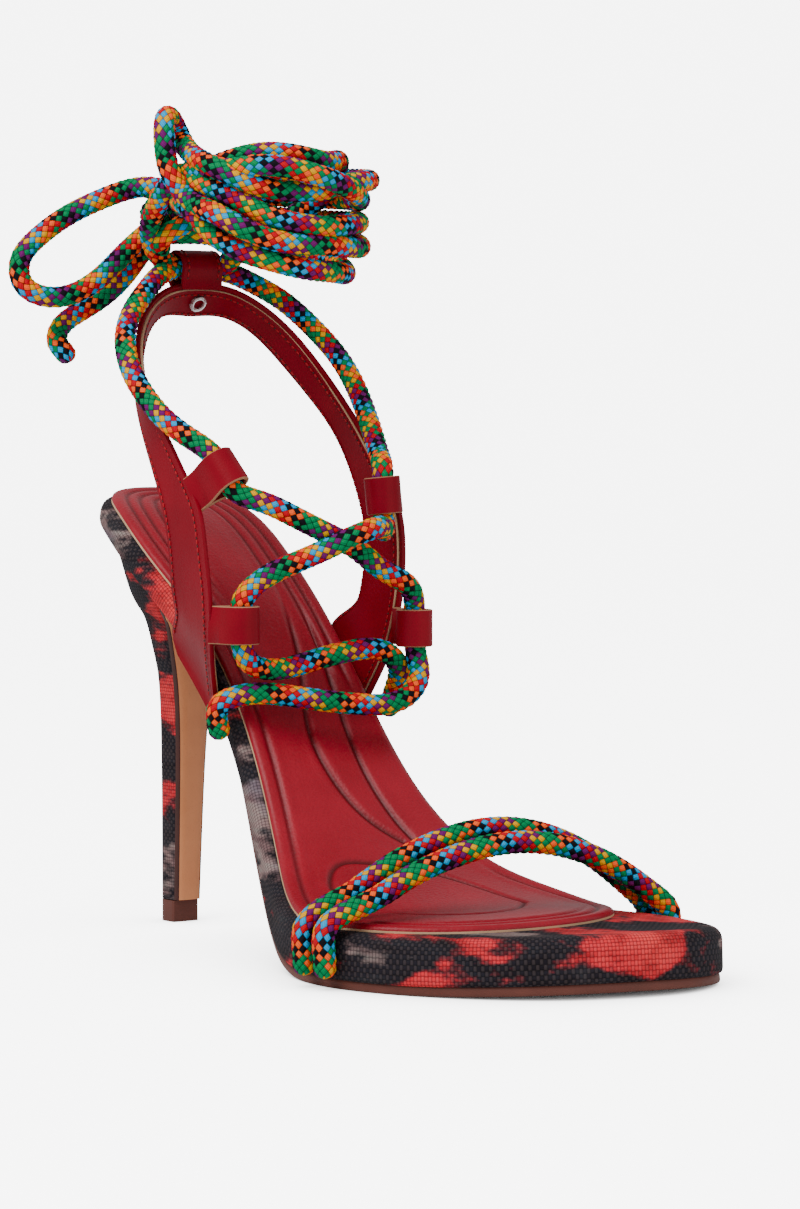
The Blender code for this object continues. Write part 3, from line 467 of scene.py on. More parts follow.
platform_walls = sides_of(FOOTPRINT_OUTER, FOOTPRINT_INNER)


def wall(side, x):
    """Distance of the platform's wall from the middle, at a place along one side."""
    half = platform_walls[0 if side < 0 else 1]
    return float(np.interp(x, half[:, 0], np.abs(half[:, 1])))


def dress(name, mesh, finishes, nodes, sharp=None):
    """Make a piece of a bmesh; it rides on the shoe and stands for the given nodes."""
    bmesh.ops.remove_doubles(mesh, verts=mesh.verts, dist=WELD * MM)
    bmesh.ops.dissolve_degenerate(mesh, edges=mesh.edges, dist=SLIVER * MM)
    bmesh.ops.recalc_face_normals(mesh, faces=mesh.faces)
    data = bpy.data.meshes.new(name)
    mesh.to_mesh(data)
    mesh.free()
    data.shade_smooth()
    if sharp:
        data.set_sharp_from_angle(angle=np.radians(sharp))
    for finish in finishes:
        data.materials.append(finish)
    piece = bpy.data.objects.new(name, data)
    bpy.context.collection.objects.link(piece)
    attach(piece, "root")
    if nodes:
        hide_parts(*nodes)
    return piece


def loft(name, rings, finishes, nodes=(), uv=None, top_uv=None, top=(), trim=(), sharp=None,
         painted_crease_shade=None):
    """Skin through rings of points in millimetres, all with the same count.

    The top columns take the second set of UVs, and the trim columns the second finish.
    The shade painted into the creases is kept on the points, for the finish to darken the colour by.
    """
    rings = np.asarray(rings, float)
    rows, columns = rings.shape[:2]
    mesh = bmesh.new()
    bmesh.ops.create_grid(mesh, x_segments=columns - 1, y_segments=rows - 1, size=1.0)
    mesh.verts.index_update()
    for vert, at in zip(mesh.verts, ((rings - CENTRE) * MM).reshape(-1, 3)):
        vert.co = at
    if painted_crease_shade is not None:
        depth = mesh.verts.layers.float.new("painted_crease_shade")
        mesh.verts.ensure_lookup_table()
        for vert, value in zip(mesh.verts, painted_crease_shade.ravel()):
            vert[depth] = value
    layer = mesh.loops.layers.uv.new("UVMap") if uv is not None else None
    top = set(top)
    trim = set(trim)
    for face in mesh.faces:
        column = min(corner.index % columns for corner in face.verts)
        face.material_index = 1 if column in trim else 0
        if layer:
            table = top_uv if column in top else uv
            for corner in face.loops:
                corner[layer].uv = table[corner.vert.index // columns][corner.vert.index % columns]
    return dress(name, mesh, finishes, nodes, sharp)


def closed(ring):
    """A ring of points with its first point added at the end."""
    return np.concatenate([ring, ring[:1]])


def capped(rings):
    """Rings with both ends drawn together to a point."""
    rings = np.asarray(rings, float)
    ends = [np.broadcast_to(r.mean(axis=0), r.shape)[None] for r in (rings[0], rings[-1])]
    return np.concatenate([ends[0], rings, ends[1]])


def carried(path):
    """Two directions square to a path, carried along it without twist."""
    run = unit(np.gradient(path, axis=0))
    aside = np.cross(run[0], ROPE_ASIDE)
    first = []
    for t in run:
        aside = unit(aside - (aside @ t) * t)
        first.append(aside)
    first = np.array(first)
    return first, np.cross(run, first)


def rope(name, route, nodes):
    """Braided rope along a route; each yarn's float stands up on the tube, and its ends are rounded."""
    knots = YARN_POINTS * CARRIERS
    count = int(round(run_of(smooth(route, ROUTE_STEPS))[-1] / (LAY / knots))) + 1
    path = smooth(route, count)
    one, two = carried(path)
    turn = np.arange(knots + 1)
    column = (turn + np.arange(count)[:, None]) / YARN_POINTS
    row = (turn - np.arange(count)[:, None]) / YARN_POINTS
    swell = np.abs(np.sin(np.pi * column)), np.abs(np.sin(np.pi * row))
    over = (np.floor(column) + np.floor(row)) % 2
    relief = np.where(over == 0, swell[1] * swell[0] ** FLOAT_ENDS, swell[0] * swell[1] ** FLOAT_ENDS)
    radius = ROPE / 2 - YARN_RELIEF * (1 - relief)
    along = run_of(path)
    to_end = np.minimum(along, along[-1] - along)
    radius = radius * np.sqrt(1 - np.clip(1 - to_end / (ROPE / 2), 0, 1) ** 2)[:, None]
    angle = 2 * np.pi * turn / knots
    spoke = np.cos(angle)[:, None] * one[:, None] + np.sin(angle)[:, None] * two[:, None]
    uv = np.stack(np.meshgrid(turn / knots, np.arange(count) / knots), axis=2)
    piece = loft(name, path[:, None] + radius[..., None] * spoke, [rope_braid], nodes, uv=uv)
    return piece, path


def tie(name, route, nodes):
    """Rope of the ankle tie, held in the back tab."""
    piece, path = rope(name, route, nodes)
    return piece


def coil_round(name, first, last):
    """Points of one round of the coil between two turns, in degrees from the fan."""
    fan, bunch, front_bunch, front_fan, behind, *heights = ROUNDS[name]
    points = []
    way = np.sign(last - first)
    for turn in range(first, last + way, TURN_STEP * way):
        side, ahead = np.cos(np.radians(turn)), np.sin(np.radians(turn))
        side = side * (fan if side > 0 else bunch)
        ahead = ahead * (np.interp(turn, (30, 150), (front_fan, front_bunch)) if turn > 0 else behind)
        points.append((COIL_X + side * np.cos(FAN) + ahead * np.sin(FAN),
                       COIL_Y + side * np.sin(FAN) - ahead * np.cos(FAN),
                       np.interp(turn, ROUND_TURNS, heights)))
    return points


def make_ropes():
    """Ankle tie, instep lacing and toe ropes."""
    lean = unit(KNOT_LEAN)
    one = unit(np.cross(lean, (0, 1, 0)))
    two = np.cross(lean, one)
    wraps = []
    for turn in np.linspace(0, 2 * np.pi * KNOT_WRAPS, KNOT_POINTS):
        shift = KNOT_PITCH * (turn / (2 * np.pi) - KNOT_WRAPS / 2)
        wraps.append(KNOT + shift * lean + KNOT_RADIUS * (np.cos(turn) * one + np.sin(turn) * two))
    knot = rope("tie_knot_wraps", wraps, ["tie_knot"])[0]
    route = TIE_A_RISE + coil_round("top", -60, 150) + coil_round("over", -150, 120) + BIGHT
    route = route + coil_round("low", 150, -150) + BOW_LOOP
    tie("tie_rope_far", route, ["tie_coil", "tie_bow_loop"])
    route = TIE_B_RISE + coil_round("high", 120, -150) + coil_round("middle", 150, -150)
    route = route + coil_round("bottom", 150, -150) + TIE_END
    tie("tie_rope_near", route, ["tie_end"])
    rope("lacing_near", LACE_A, ["instep_lacing"])
    rope("lacing_far", LACE_B, ["instep_lacing"])
    reach = ROPE / 2 + GAP
    upright = TOE_ROPE_UPRIGHT * TOE_ROPE_SHOULDER
    for name, (near_x, far_x, arch) in TOE_ROPES.items():
        near = -wall(-1, near_x) - reach
        far = wall(1, far_x) + reach
        route = [(near_x, near, TOE_ROPE_FOOT), (near_x, near, upright)]
        for t in TOE_ROPE_SHARES:
            lean = np.sin(np.pi * t ** TOE_ROPE_SKEW)
            rise = TOE_ROPE_SHOULDER + (arch - TOE_ROPE_SHOULDER) * lean ** TOE_ROPE_FULLNESS
            route.append((near_x + t * (far_x - near_x), near + t * (far - near), rise))
        route += [(far_x, far, z) for z in (TOE_ROPE_SHOULDER, upright, TOE_ROPE_FOOT)]
        rope(name.replace("toe_rope", "rope_over_toes"), route, [name])


def wrapped_slab(name, finish, nodes, layers, rear=0.0, tuck=0.0):
    """Layer of the sole with rounded edges, its cloth laid round the walls and flat on the top."""
    def lay(plan, share, extra):
        x, y = plan[..., 0], plan[..., 1]
        return on_board(x, y, share * board_thick(x, y) + extra)

    near = []
    far = []
    for inset, share, extra in layers:
        a, b = sides_of(FOOTPRINT_OUTER, FOOTPRINT_INNER, inset, rear, tuck=tuck)
        near.append(lay(a, share, extra))
        far.append(lay(b, share, extra))
    across = np.linspace(0, 1, RUNGS + 1)[1:-1, None, None]
    faces = []
    for inset, share, extra in (layers[0], layers[-1]):
        a, b = sides_of(FOOTPRINT_OUTER, FOOTPRINT_INNER, inset, rear, tuck=tuck)
        faces.append(lay(b + across * (a - b), share, extra))
    rings = np.concatenate([near, faces[1][::-1], far[::-1], faces[0], near[:1]]).transpose(1, 0, 2)
    count = len(layers)
    near_run = run_of(near[count // 2])
    far_run = run_of(far[count // 2])
    far_wall = slice(count + RUNGS - 1, 2 * count + RUNGS - 1)
    along = np.repeat(near_run[:, None], rings.shape[1], axis=1)
    along[:, far_wall] = (near_run[-1] + far_run[-1] - far_run)[:, None]
    down = run_of(rings[len(rings) // 2])
    down[far_wall] = down[count - 1::-1]
    uv = np.stack([along, down + 0 * along], axis=2)
    bottom = range(count - 1, count + RUNGS - 1)
    top = range(2 * count + RUNGS - 2, 2 * count + 2 * RUNGS - 2)
    return loft(name, rings, [finish], nodes, uv=uv, top_uv=rings[..., :2],
                top=list(bottom) + list(top), sharp=SHARP)


def nearest(points, line):
    """Distance from each point to a line drawn with short straight stretches."""
    gaps = np.full(points.shape[:-1], np.inf)
    for start, end in zip(line[:-1], line[1:]):
        stretch = end - start
        share = np.clip((points - start) @ stretch / (stretch @ stretch), 0, 1)
        gaps = np.minimum(gaps, np.linalg.norm(points - start - share[..., None] * stretch, axis=-1))
    return gaps


def make_sock():
    """Leather sock with its moulded lines, shade painted into them, and its pale cut edge."""
    near, far = sides_of(SOCK_OUTER, SOCK_INNER, steps=SOCK_ROWS)
    across = (1 - np.cos(np.linspace(0, np.pi, SOCK_COLUMNS + 1))) / 2
    across = EDGE_CROWDING * across + (1 - EDGE_CROWDING) * np.linspace(0, 1, SOCK_COLUMNS + 1)
    plan = near[:, None] + across[:, None] * (far - near)[:, None]
    edge = np.concatenate([near, far[-2:0:-1], near[:1]])
    inside = nearest(plan, edge)
    x = plan[..., 0]
    rounding = np.sqrt(np.clip(1 - (1 - np.clip(inside / SOCK_ROUNDING, 0, 1)) ** 2, 0, 1))
    lift = SOCK_THICK * (SOCK_EDGE + (1 - SOCK_EDGE) * rounding)
    # Painted shade: how much the colour is darkened in each groove, kept on the points
    painted_crease_shade = np.zeros_like(lift)
    for place, near_fade, far_fade, again in SOCK_ROUNDS:
        fade = np.where(across < 0.5, near_fade, far_fade)
        strength = 1 - ease(x, fade - ROUND_FADE, fade)
        strength = strength + ease(x, again, again + ROUND_FADE) * (fade < again)
        groove = strength * np.exp(-((inside - place) / GROOVE) ** 2)
        dip = strength * np.exp(-((inside - place) / DIP) ** 2)
        bead = strength * np.exp(-((inside - place - ROUND_BEAD_AWAY) / BEAD) ** 2)
        lift = lift - ROUND_DEPTH * groove - ROUND_DIP * dip + ROUND_BEAD * bead
        painted_crease_shade = np.maximum(painted_crease_shade, ROUND_DARK * groove)
    for line, height in zip(SOCK_LINES + [SOCK_PAD + SOCK_PAD[:1]], LINE_BEADS):
        away = nearest(plan, smooth(line, LINE_POINTS))
        shown = ease(x, line[0][0], line[0][0] + LINE_FADE) if height else 1.0
        groove = shown * np.exp(-(away / GROOVE) ** 2)
        dip = shown * np.exp(-(away / DIP) ** 2)
        bead = shown * np.exp(-((away - LINE_BEAD_AWAY) / BEAD) ** 2)
        lift = lift - LINE_DEPTH * groove - LINE_DIP * height * dip + height * bead
        painted_crease_shade = np.maximum(painted_crease_shade, groove)
    lift = lift + SOCK_CROWN * ease(inside, CROWN_FROM, CROWN_TO)
    top = on_board(plan[..., 0], plan[..., 1], -GAP - lift)
    low = [on_board(s[:, 0], s[:, 1], np.full(len(s), SUNK))[:, None] for s in (near, far)]
    rings = np.concatenate([low[0], top, low[1], low[0]], axis=1)
    loft("moulded_sock", rings, [sock_leather, cut_edge], ["insole_sock"],
         trim=[0, SOCK_COLUMNS + 1], sharp=SOCK_SHARP, painted_crease_shade=np.pad(painted_crease_shade, ((0, 0), (1, 2))))


heel_curve = cubic(np.linspace(0, 1, len(HEEL)), HEEL)


def seat_under(x, y):
    """Height of the seat's underside, less the clearance."""
    d = SLOPE_STEP
    slope = (board_height(x + d, y) - board_height(x - d, y)) / (2 * d)
    return board_height(x, y) - (board_thick(x, y) + GAP) * np.sqrt(1 + slope ** 2)


def heel_height(share, x, y):
    """Height of a heel section; near the seat it lies along the seat, lower down it is level."""
    drop, level, follow = heel_curve(share)[3:]
    follow = np.clip(follow, 0, 1)
    return follow * (seat_under(x, y) - drop) + (1 - follow) * level


def make_heel():
    """Canvas-wrapped heel and the tan facing on its breast."""
    rings = []
    for down in np.linspace(0, 1, HEEL_RINGS):
        back, breast, half = heel_curve(down)[:3]
        deep = min(half, HEEL_BACK * (breast - back))
        turn = np.linspace(0, np.pi / 2, HEEL_ROUND)
        x = np.concatenate([back + deep * (1 - np.cos(turn)), [breast - HEEL_CORNER, breast]])
        y = np.concatenate([half * np.sin(turn), [share * half for share in CORNER_WIDTHS]])
        x = np.concatenate([x[::-1], x[1:]])
        y = np.concatenate([-y[::-1], y[1:]])
        rings.append(closed(np.stack([x, y, heel_height(down, x, y)], axis=1)))
    rings = np.array(rings)
    middle = rings.shape[1] // 2
    round_run = np.concatenate([np.zeros((len(rings), 1)),
                                np.cumsum(np.linalg.norm(np.diff(rings, axis=1), axis=2), axis=1)], axis=1)
    uv = np.stack([round_run - round_run[:, middle, None], rings[..., 2]], axis=2)
    uv = np.concatenate([uv[:1], uv, uv[-1:]])
    loft("heel_wrap", capped(rings), [printed_canvas], ["heel"], uv=uv, top_uv=uv, sharp=SHARP)

    shares = np.linspace(BREAST_TOP, 1, HEEL_RINGS)
    front = np.array([[heel_curve(s)[1], heel_height(s, heel_curve(s)[1], 0.0)] for s in shares])
    run = unit(np.gradient(front, axis=0))
    ahead = np.stack([-run[:, 1], run[:, 0]], axis=1)
    rings = []
    for s, at, out in zip(shares, front, ahead):
        half = BREAST_WIDTH * heel_curve(s)[2]
        near = at - SUNK * out
        face = at + (GAP + BREAST_THICK) * out
        edge = half - BREAST_PIPING
        across = [BREAST_BOW * edge, edge - PIPING_STEP, edge, half - BREAST_ROUNDING, half, half]
        y = np.array([-place for place in across[::-1]] + [0.0] + across)
        place = near + BREAST_REACH[:, None] * (face - near)
        rings.append(closed(np.stack([place[:, 0], y, place[:, 1]], axis=1)))
    loft("breast_facing", capped(rings), [tan_leather, dark_edge], ["heel_breast"],
         trim=[0, 1, 2, 9, 10, 11], sharp=SHARP)


def ankle_plan():
    """Plan of the quarter's half from the middle of the back: distance round, along, across."""
    reach = ANKLE_STRAIGHT - ANKLE_BACK
    turn = np.linspace(0, np.pi / 2, ANKLE_STEPS)
    power = 2 / ANKLE_SQUARENESS
    x = ANKLE_STRAIGHT - reach * np.cos(turn) ** power
    y = ANKLE_HALF * np.sin(turn) ** power
    x = np.append(x, ANKLE_STRAIGHT + ANKLE_AHEAD)
    y = np.append(y, ANKLE_HALF)
    return run_of(np.stack([x, y], axis=1)), x, y


ankle_round, ankle_x, ankle_y = ankle_plan()


def quarter_point(around, height, hold, lean):
    """Place on the middle of the quarter's leather; minus is the near side."""
    side = -1 if around < 0 else 1
    x = np.interp(abs(around), ankle_round, ankle_x)
    y = np.interp(abs(around), ankle_round, ankle_y)
    held = max(wall(side, x + reach) for reach in WALL_REACH) + GAP + LEATHER / 2
    x = x - lean * (1 - ease(abs(around), 0, LEAN_ROUND))
    return np.array([x, (1 - hold) * (side * y + ANKLE_Y) + hold * side * held, height])


def quarter_surface(shares):
    """Middle surface of the quarter at shares from its rear to its front edge, with its outward side."""
    near = [(-a, b, -c, d, h) for a, b, c, d, h in QUARTER]
    rows = smooth(np.array(near + QUARTER[-2::-1]), QUARTER_STEPS)
    grid = []
    for rear_round, rear_z, front_round, front_z, hold in rows:
        row = []
        for t in shares:
            around = rear_round + t * (front_round - rear_round)
            height = rear_z + t * (front_z - rear_z)
            row.append(quarter_point(around, height, np.clip(hold, 0, 1), (1 - t) * ANKLE_LEAN))
        grid.append(row)
    grid = np.array(grid)
    normal = unit(np.cross(np.gradient(grid, axis=0), np.gradient(grid, axis=1)))
    away = grid[..., :2] - np.array([ANKLE_STRAIGHT, ANKLE_Y])
    return grid, normal * np.sign((normal[..., :2] * away).sum(axis=2))[..., None]


def quarter_layer(name, finishes, nodes, setback, inner, outer):
    """One leather of the quarter between two offsets, with rounded edges."""
    shares = np.linspace(0, 1, QUARTER_COLUMNS)
    grid, out = quarter_surface(shares)
    width = np.linalg.norm(np.diff(grid, axis=1), axis=2).sum(axis=1)
    across = unit(grid[:, -1] - grid[:, 0])
    trim = np.clip(shares[None] * width[:, None], setback, width[:, None] - setback)
    moved = grid + (trim - shares[None] * width[:, None])[..., None] * across[:, None]
    bulge = EDGE_BULGE * (outer - inner)
    middle = (inner + outer) / 2
    front = [moved[:, -1] + bulge * across + middle * out[:, -1]]
    rear = [moved[:, 0] - bulge * across + middle * out[:, 0]]
    skin_out = [moved[:, k] + outer * out[:, k] for k in range(len(shares))]
    skin_in = [moved[:, k] + inner * out[:, k] for k in range(len(shares))]
    rings = np.array(rear + skin_out + front + skin_in[::-1] + rear).transpose(1, 0, 2)
    last = QUARTER_COLUMNS
    face, back = slice(1, last + 1), slice(last + 2, 2 * last + 2)
    ends = []
    for ring in (rings[0], rings[-1]):
        flat = ring.copy()
        seam = (ring[face] + ring[back][::-1]) / 2
        flat[face] = seam
        flat[back] = seam[::-1]
        ends.append(flat[None])
    rings = np.concatenate([ends[0], rings, ends[1]])
    return loft(name, rings, finishes, nodes, trim=[0, last, last + 1, 2 * last + 1],
                sharp=QUARTER_SHARP)


def stitches(name, line, out):
    """Row of thread stitches along a line that lies on the leather."""
    along = run_of(line)
    places = np.arange(STITCH_PITCH, along[-1] - STITCH_PITCH, STITCH_PITCH)
    run = unit(np.gradient(line, axis=0))
    mesh = bmesh.new()
    for place in places:
        at, t, n = [np.array([np.interp(place, along, s[:, k]) for k in range(3)]) for s in (line, run, out)]
        n = unit(n - (n @ t) * t)
        turn = Matrix(np.stack([t, np.cross(n, t), n], axis=1).tolist()).to_4x4()
        # A stitch of thread, then a dark dot between stitches: painted shade in the needle hole
        for shift, length, width, kind in ((0.0, STITCH_LENGTH, THREAD, 0), (0.5, NEEDLE, NEEDLE, 1)):
            size = Matrix.Diagonal((length / 2 * MM, width / 2 * MM, THREAD_HEIGHT * width * MM, 1))
            spot = Matrix.Translation(Vector((at + shift * STITCH_PITCH * t - CENTRE) * MM))
            made = bmesh.ops.create_uvsphere(mesh, u_segments=6, v_segments=5, radius=1.0,
                                             matrix=spot @ turn @ size)
            for face in {face for vert in made["verts"] for face in vert.link_faces}:
                face.material_index = kind
    mesh.verts.sort(key=lambda vert: vert.co @ SLANT)
    mesh.faces.sort(key=lambda face: sum(sorted(vert.co @ SLANT for vert in face.verts)))
    return dress(name, mesh, [stitch_thread, dark_edge], ())


def swept_strip(name, low, high, thick, nodes, edge):
    """Leather strip between two lines that carry its middle, with the finish of its cut edges."""
    run = np.gradient((low + high) / 2, axis=0)
    out = unit(np.cross(run, high - low))
    half = np.asarray(thick, float)[:, None] / 2
    inset = STRIP_ROUNDING * unit(high - low)
    rings = np.stack([low - half * out + inset, low - 0.5 * half * out, low + 0.5 * half * out,
                      low + half * out + inset, high + half * out - inset, high + 0.5 * half * out,
                      high - 0.5 * half * out, high - half * out - inset, low - half * out + inset], axis=1)
    return loft(name, capped(rings), [red_leather, edge], nodes, trim=[0, 1, 2, 4, 5, 6],
                sharp=SHARP)


def make_loops(grid):
    """Rope loops, each a strip folded round the rope with its ends under the quarter, and the back tab."""
    fold = ROPE / 2 + BORE_CLEAR + LOOP_LEATHER / 2
    turn = np.radians(np.linspace(LOOP_GRIP, -LOOP_GRIP, LOOP_BOW))
    for name, (side, middle, axis, height) in LOOPS.items():
        edge = grid[:, -1]
        half = edge[:len(edge) // 2] if side < 0 else edge[:len(edge) // 2:-1]

        def front(level):
            return np.array([np.interp(level, half[:, 2], half[:, k]) for k in range(3)])

        middle = np.array(middle)
        ahead = unit(middle - front(height))
        axis = unit(np.array(axis) - (np.array(axis) @ ahead) * ahead)
        aside = np.cross(axis, ahead)
        lines = []
        for end in (-LOOP_WIDTH / 2, LOOP_WIDTH / 2):
            tail = (middle - front(height + end * np.sign(axis[2]))) @ ahead + LOOP_TUCK
            bow = [(fold * np.cos(t), fold * np.sin(t)) for t in turn]
            neck = min(LOOP_NECK[0] * fold, LOOP_NECK[1] * tail)
            ply = list(zip((-neck, -(tail + neck) / 2, -tail), LOOP_PLIES))
            path = smooth(ply[::-1] + bow + [(back, -half_gap) for back, half_gap in ply], LOOP_POINTS)
            lines.append(middle + end * axis + path[:, :1] * ahead + path[:, 1:] * aside)
        thick = np.interp(np.linspace(0, 1, LOOP_POINTS), [0, LOOP_SKIVE, 1 - LOOP_SKIVE, 1],
                          [LOOP_THIN, LOOP_LEATHER, LOOP_LEATHER, LOOP_THIN])
        swept_strip(name.replace("loop", "rope_loop"), lines[0], lines[1], thick, [name], loop_edge)
    arc = np.radians(np.linspace(*TAB_ARC, TAB_BOW))
    path = [(TAB_ROPE[0] + fold * np.cos(t), TAB_ROPE[1] + fold * np.sin(t)) for t in arc]
    path = smooth([TAB_REAR_END] + path + [TAB_FRONT_END], TAB_POINTS)
    lines = [np.stack([path[:, 0], np.full(TAB_POINTS, y), path[:, 1]], axis=1)
             for y in (-BACK_TAB_WIDTH / 2, BACK_TAB_WIDTH / 2)]
    thick = np.full(TAB_POINTS, LOOP_LEATHER)
    swept_strip("back_tab_fold", lines[0], lines[1], thick, ["back_tab"], red_leather)
    front = path[TAB_POINTS // 2 - 1:]
    out = unit(np.gradient(front, axis=0))
    out = np.stack([-out[:, 1], 0 * out[:, 0], out[:, 0]], axis=1)
    out = out * np.sign(out[len(out) // 2, 0])
    for side in (-1, 1):
        line = np.stack([front[:, 0], np.full(len(front), side * (BACK_TAB_WIDTH / 2 - TAB_STITCH)),
                         front[:, 1]], axis=1)
        stitches("tab_stitches_far" if side > 0 else "tab_stitches_near",
                 line + (LOOP_LEATHER / 2 + TAB_STITCH_LIFT) * out, out)


def make_upper():
    """Quarter of two leathers with its stitching, and the loops on it."""
    join = LINING - LEATHER / 2
    quarter_layer("quarter_outer", [red_leather, red_leather], ["quarter"], 0.0, join, LEATHER / 2)
    quarter_layer("quarter_lining", [red_leather, cut_edge], ["quarter"], LINING_SETBACK, -LEATHER / 2, join)
    grid, out = quarter_surface(np.linspace(0, 1, QUARTER_COLUMNS))
    width = np.linalg.norm(grid[:, -1] - grid[:, 0], axis=1)
    across = unit(grid[:, -1] - grid[:, 0])
    lines = {"stitches_front": (grid[:, -1] - STITCH_FRONT * across, out[:, -2]),
             "stitches_rear": (grid[:, 0] + STITCH_REAR * across, out[:, 1])}
    keep = np.flatnonzero(width > 2 * (STITCH_FRONT + STITCH_REAR))[STITCH_ENDS:-STITCH_ENDS]
    for name, (line, side) in lines.items():
        for face, where in ((1, name), (-1, name.replace("stitches", "lining_stitches"))):
            raised = line + face * (LEATHER / 2 + STITCH_LIFT) * side
            stitches(where, raised[keep], face * side[keep])
    make_loops(grid)


# Materials

def feed(tree, value, socket):
    """Link a socket to another, or set its value."""
    if isinstance(value, bpy.types.NodeSocket):
        tree.links.new(value, socket)
    elif value is not None:
        socket.default_value = value


def sum_of(tree, operation, a, b=None):
    """One step of arithmetic on the nodes."""
    node = tree.nodes.new("ShaderNodeMath")
    node.operation = operation
    feed(tree, a, node.inputs[0])
    feed(tree, b, node.inputs[1])
    return node.outputs[0]


def blended(tree, share, a, b, kind="MIX"):
    """Two colours mixed by a share."""
    node = tree.nodes.new("ShaderNodeMix")
    node.data_type = "RGBA"
    node.blend_type = kind
    feed(tree, share, node.inputs["Factor"])
    for value, socket in ((a, node.inputs[6]), (b, node.inputs[7])):
        feed(tree, (*value, 1) if isinstance(value, tuple) else value, socket)
    return node.outputs[2]


def speckle(tree, where, scale, detail=3.0):
    """Soft noise at a scale."""
    node = tree.nodes.new("ShaderNodeTexNoise")
    feed(tree, where, node.inputs["Vector"])
    node.inputs["Scale"].default_value = scale
    node.inputs["Detail"].default_value = detail
    return node.outputs["Fac"]


def stepped(tree, share, stops, kind="LINEAR"):
    """Colours along a ramp."""
    node = tree.nodes.new("ShaderNodeValToRGB")
    node.color_ramp.interpolation = kind
    marks = node.color_ramp.elements
    while len(marks) < len(stops):
        marks.new(0.5)
    for mark, (place, colour) in zip(marks, stops):
        mark.position = place
        mark.color = (*colour, 1)
    feed(tree, share, node.inputs["Fac"])
    return node.outputs["Color"]


def new_group(name, inputs, outputs):
    """Empty node group with its sockets."""
    tree = bpy.data.node_groups.new(name, "ShaderNodeTree")
    for label, kind in inputs:
        tree.interface.new_socket(label, in_out="INPUT", socket_type=kind)
    for label, kind in outputs:
        tree.interface.new_socket(label, in_out="OUTPUT", socket_type=kind)
    return tree, tree.nodes.new("NodeGroupInput").outputs, tree.nodes.new("NodeGroupOutput").inputs


def placed(tree, group, **values):
    """Use a node group and return its outputs."""
    node = tree.nodes.new("ShaderNodeGroup")
    node.node_tree = group
    for label, value in values.items():
        feed(tree, value, node.inputs[label])
    return node.outputs


def interlace_group():
    """Over-and-under lattice of yarns: which yarn is on top, its row and column, its relief and strands."""
    number = "NodeSocketFloat"
    tree, given, made = new_group("interlaced yarns", [("Column", number), ("Row", number)],
                                  [("Over", number), ("Column", number), ("Row", number), ("Height", number),
                                   ("Strands", number)])
    column = sum_of(tree, "FLOOR", given["Column"])
    row = sum_of(tree, "FLOOR", given["Row"])
    over = sum_of(tree, "FLOORED_MODULO", sum_of(tree, "ADD", column, row), 2.0)
    swells = []
    strands = []
    for value in (given["Column"], given["Row"]):
        turn = sum_of(tree, "MULTIPLY", sum_of(tree, "FRACT", value), np.pi)
        swells.append(sum_of(tree, "SINE", turn))
        ridges = sum_of(tree, "SINE", sum_of(tree, "MULTIPLY", turn, STRANDS))
        strands.append(sum_of(tree, "ABSOLUTE", ridges))
    across = blended(tree, over, swells[1], swells[0])
    along = blended(tree, over, swells[0], swells[1])
    across = sum_of(tree, "POWER", across, YARN_FLATNESS)
    height = sum_of(tree, "MULTIPLY", across, sum_of(tree, "POWER", along, FLOAT_ENDS))
    fine = blended(tree, over, strands[1], strands[0])
    values = {"Over": over, "Column": column, "Row": row, "Height": height, "Strands": fine}
    for label, value in values.items():
        tree.links.new(value, made[label])
    return tree


def grain_group():
    """Leather grain: small pebbles with creases between them, and a slow change of tone."""
    tree, given, made = new_group("leather grain", [("Scale", "NodeSocketFloat")],
                                  [("Height", "NodeSocketFloat"), ("Tone", "NodeSocketFloat")])
    where = tree.nodes.new("ShaderNodeTexCoord").outputs["Object"]
    pebble = tree.nodes.new("ShaderNodeTexVoronoi")
    pebble.feature = "SMOOTH_F1"
    tree.links.new(where, pebble.inputs["Vector"])
    tree.links.new(given["Scale"], pebble.inputs["Scale"])
    fine = speckle(tree, where, PORES, 2.0)
    height = sum_of(tree, "ADD", pebble.outputs["Distance"], sum_of(tree, "MULTIPLY", fine, PORE_DEPTH))
    tree.links.new(height, made["Height"])
    tree.links.new(speckle(tree, where, TONE_PATCHES, 4.0), made["Tone"])
    return tree


def new_material(name, rough, metal=0.0, shine=0.5):
    """Material with its shader; returns it with its tree and shader."""
    material = bpy.data.materials.new(name)
    material.use_nodes = True
    shader = material.node_tree.nodes["Principled BSDF"]
    shader.inputs["Roughness"].default_value = rough
    shader.inputs["Metallic"].default_value = metal
    shader.inputs["Specular IOR Level"].default_value = shine
    return material, material.node_tree, shader


def raise_surface(tree, shader, height, strength, distance):
    """Bump on a shader, with its depth in millimetres."""
    node = tree.nodes.new("ShaderNodeBump")
    node.inputs["Strength"].default_value = strength
    node.inputs["Distance"].default_value = distance * MM
    tree.links.new(height, node.inputs["Height"])
    tree.links.new(node.outputs["Normal"], shader.inputs["Normal"])


